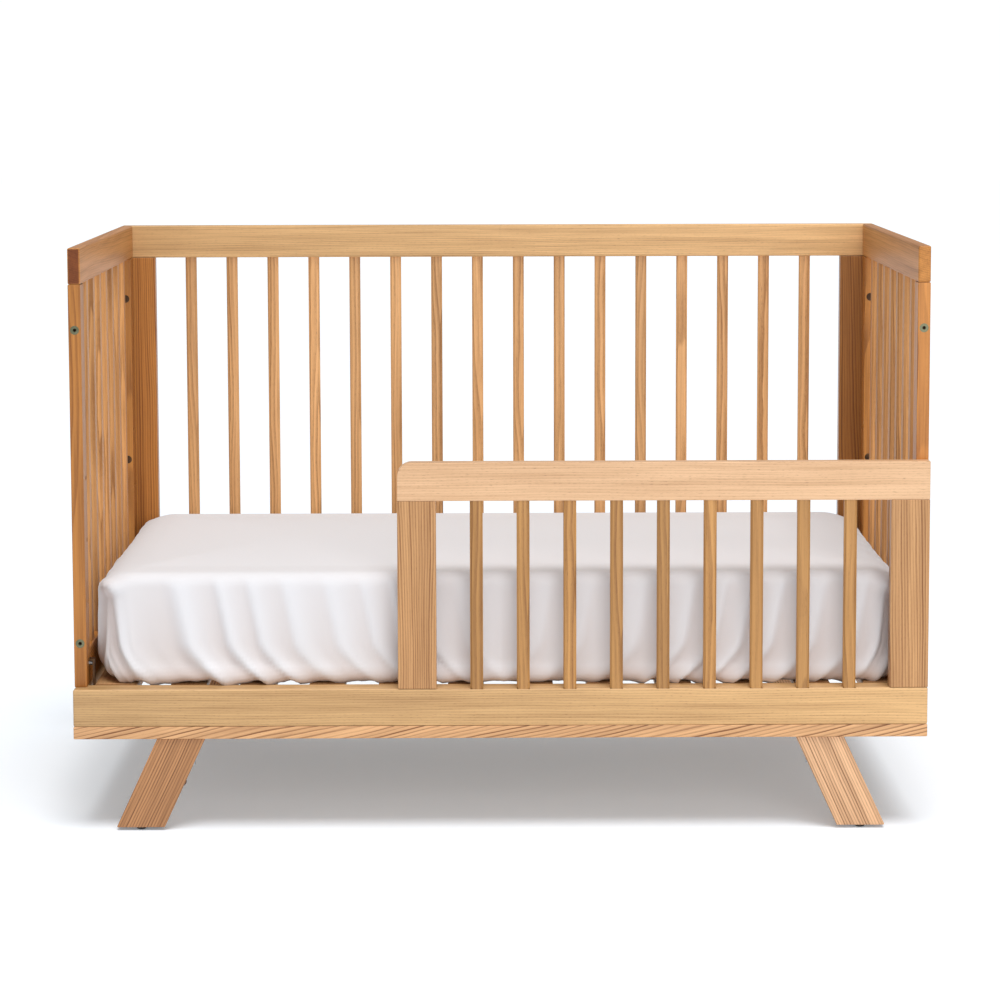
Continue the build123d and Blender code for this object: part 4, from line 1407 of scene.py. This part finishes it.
# ---- Studio ----
@dataclass
class Studio:
    """Pale floor, soft light and the camera."""

    camera_place: tuple[float, float, float] = (-0.0183, -5.0822, 1.2018)
    yaw: float = 0.227
    pitch: float = 6.167
    roll: float = -0.151
    lens: float = 107.85
    shift_y: float = -0.1
    sky: float = 0.44
    key_from: tuple[float, float, float] = (0.08, -0.3, 1.0)
    key_power: float = 2.0
    key_spread: float = 30.0
    floor_colour: Colour = (0.85, 0.88, 0.92, 1.0)
    floor_glow: Colour = (0.14, 0.168, 0.188, 1.0)
    floor_reach: float = 30.0

    def build(self) -> None:
        """Builds the floor, the sky, the lamps and the camera."""
        self.floor()
        self.world()
        self.key()
        self.lamp("front", (1.2, -4.6, 1.7), 2.6, 56.0, (1.0, 1.0, 1.0))
        self.camera()
        view = bpy.context.scene.view_settings
        view.view_transform = "Standard"
        view.look = "None"

    def floor(self) -> None:
        """Builds the plain pale floor."""
        shape = bmesh.new()
        bmesh.ops.create_grid(shape, x_segments=2, y_segments=2, size=self.floor_reach)
        mesh = bpy.data.meshes.new("studio_floor")
        shape.to_mesh(mesh)
        shape.free()
        material, g, surface = blank_material("studio_paper")
        place = g.add("ShaderNodeTexCoord").outputs["Object"]
        mottle = g.noise(place, (3.0, 3.0, 3.0))
        colour = g.blend(g.math("MULTIPLY", mottle, 0.02), self.floor_colour, (0.7, 0.7, 0.7, 1.0))
        feed(g, surface, {
            "Base Color": colour, "Roughness": 0.9, "Specular IOR Level": 0.1,
            "Emission Color": self.floor_glow, "Emission Strength": 1.0,
        })
        mesh.materials.append(material)
        new_piece("studio_floor", mesh)

    def world(self) -> None:
        """Builds the even white surround."""
        world = bpy.data.worlds.new("studio_surround")
        world.use_nodes = True
        world.node_tree.nodes.clear()
        g = Graph(world.node_tree)
        seen = g.add("ShaderNodeLightPath").outputs["Is Camera Ray"]
        strength = g.math("ADD", g.math("MULTIPLY", seen, 1.02 - self.sky), self.sky)
        shown = g.add("ShaderNodeBackground", {"Color": (1.0, 1.0, 1.0, 1.0), "Strength": strength})
        g.add("ShaderNodeOutputWorld", {"Surface": shown.outputs[0]})
        bpy.context.scene.world = world

    def key(self) -> None:
        """Adds the broad main light, from above the right front."""
        light = bpy.data.lights.new("key", "SUN")
        light.energy = self.key_power
        light.angle = math.radians(self.key_spread)
        key = bpy.data.objects.new("key", light)
        key.rotation_euler = (-Vector(self.key_from)).to_track_quat("-Z", "Y").to_euler()
        bpy.context.scene.collection.objects.link(key)

    def lamp(self, name: str, place: tuple[float, float, float], size: float, power: float,
             colour: tuple[float, float, float]) -> None:
        """Adds a soft lamp that faces the crib.

        Args:
            name: The lamp's name.
            place: Where it stands.
            size: Its side, in metres.
            power: Its power in watts.
            colour: Its colour.
        """
        light = bpy.data.lights.new(name, "AREA")
        light.size = size
        light.energy = power
        light.color = colour
        lamp = bpy.data.objects.new(name, light)
        lamp.location = place
        lamp.rotation_euler = (Vector((0, 0, 0.35)) - Vector(place)).to_track_quat("-Z", "Y").to_euler()
        bpy.context.scene.collection.objects.link(lamp)

    def camera(self) -> None:
        """Adds the camera, upright but for its small turns."""
        data = bpy.data.cameras.new("camera")
        data.lens = self.lens
        data.sensor_width = 36.0
        data.shift_y = self.shift_y
        camera = bpy.data.objects.new("camera", data)
        camera.location = self.camera_place
        aim = Euler((math.radians(90 - self.pitch), 0.0, math.radians(-self.yaw)))
        turned = aim.to_matrix() @ Euler((0.0, 0.0, math.radians(self.roll))).to_matrix()
        camera.rotation_euler = turned.to_euler()
        bpy.context.scene.collection.objects.link(camera)
        bpy.context.scene.camera = camera


def main() -> None:
    """Builds and dresses the crib, then the studio."""
    logging.basicConfig(level=logging.INFO, format="%(message)s")
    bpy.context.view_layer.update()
    for part in (BaseFrame(), Legs(), EndPanels(), BackPanel(), GuardRail(), MattressSupport()):
        part.dress()
        pieces = part.build() if hasattr(part, "build") else []
        LOG.info("%s: %s", type(part).__name__, [piece.name for piece in pieces])
    HiddenJoinery().dress()
    for soft in (Mattress(), FittedSheet()):
        LOG.info("%s: %s", type(soft).__name__, soft.build().name)
    Studio().build()


if __name__ == "__main__":
    main()
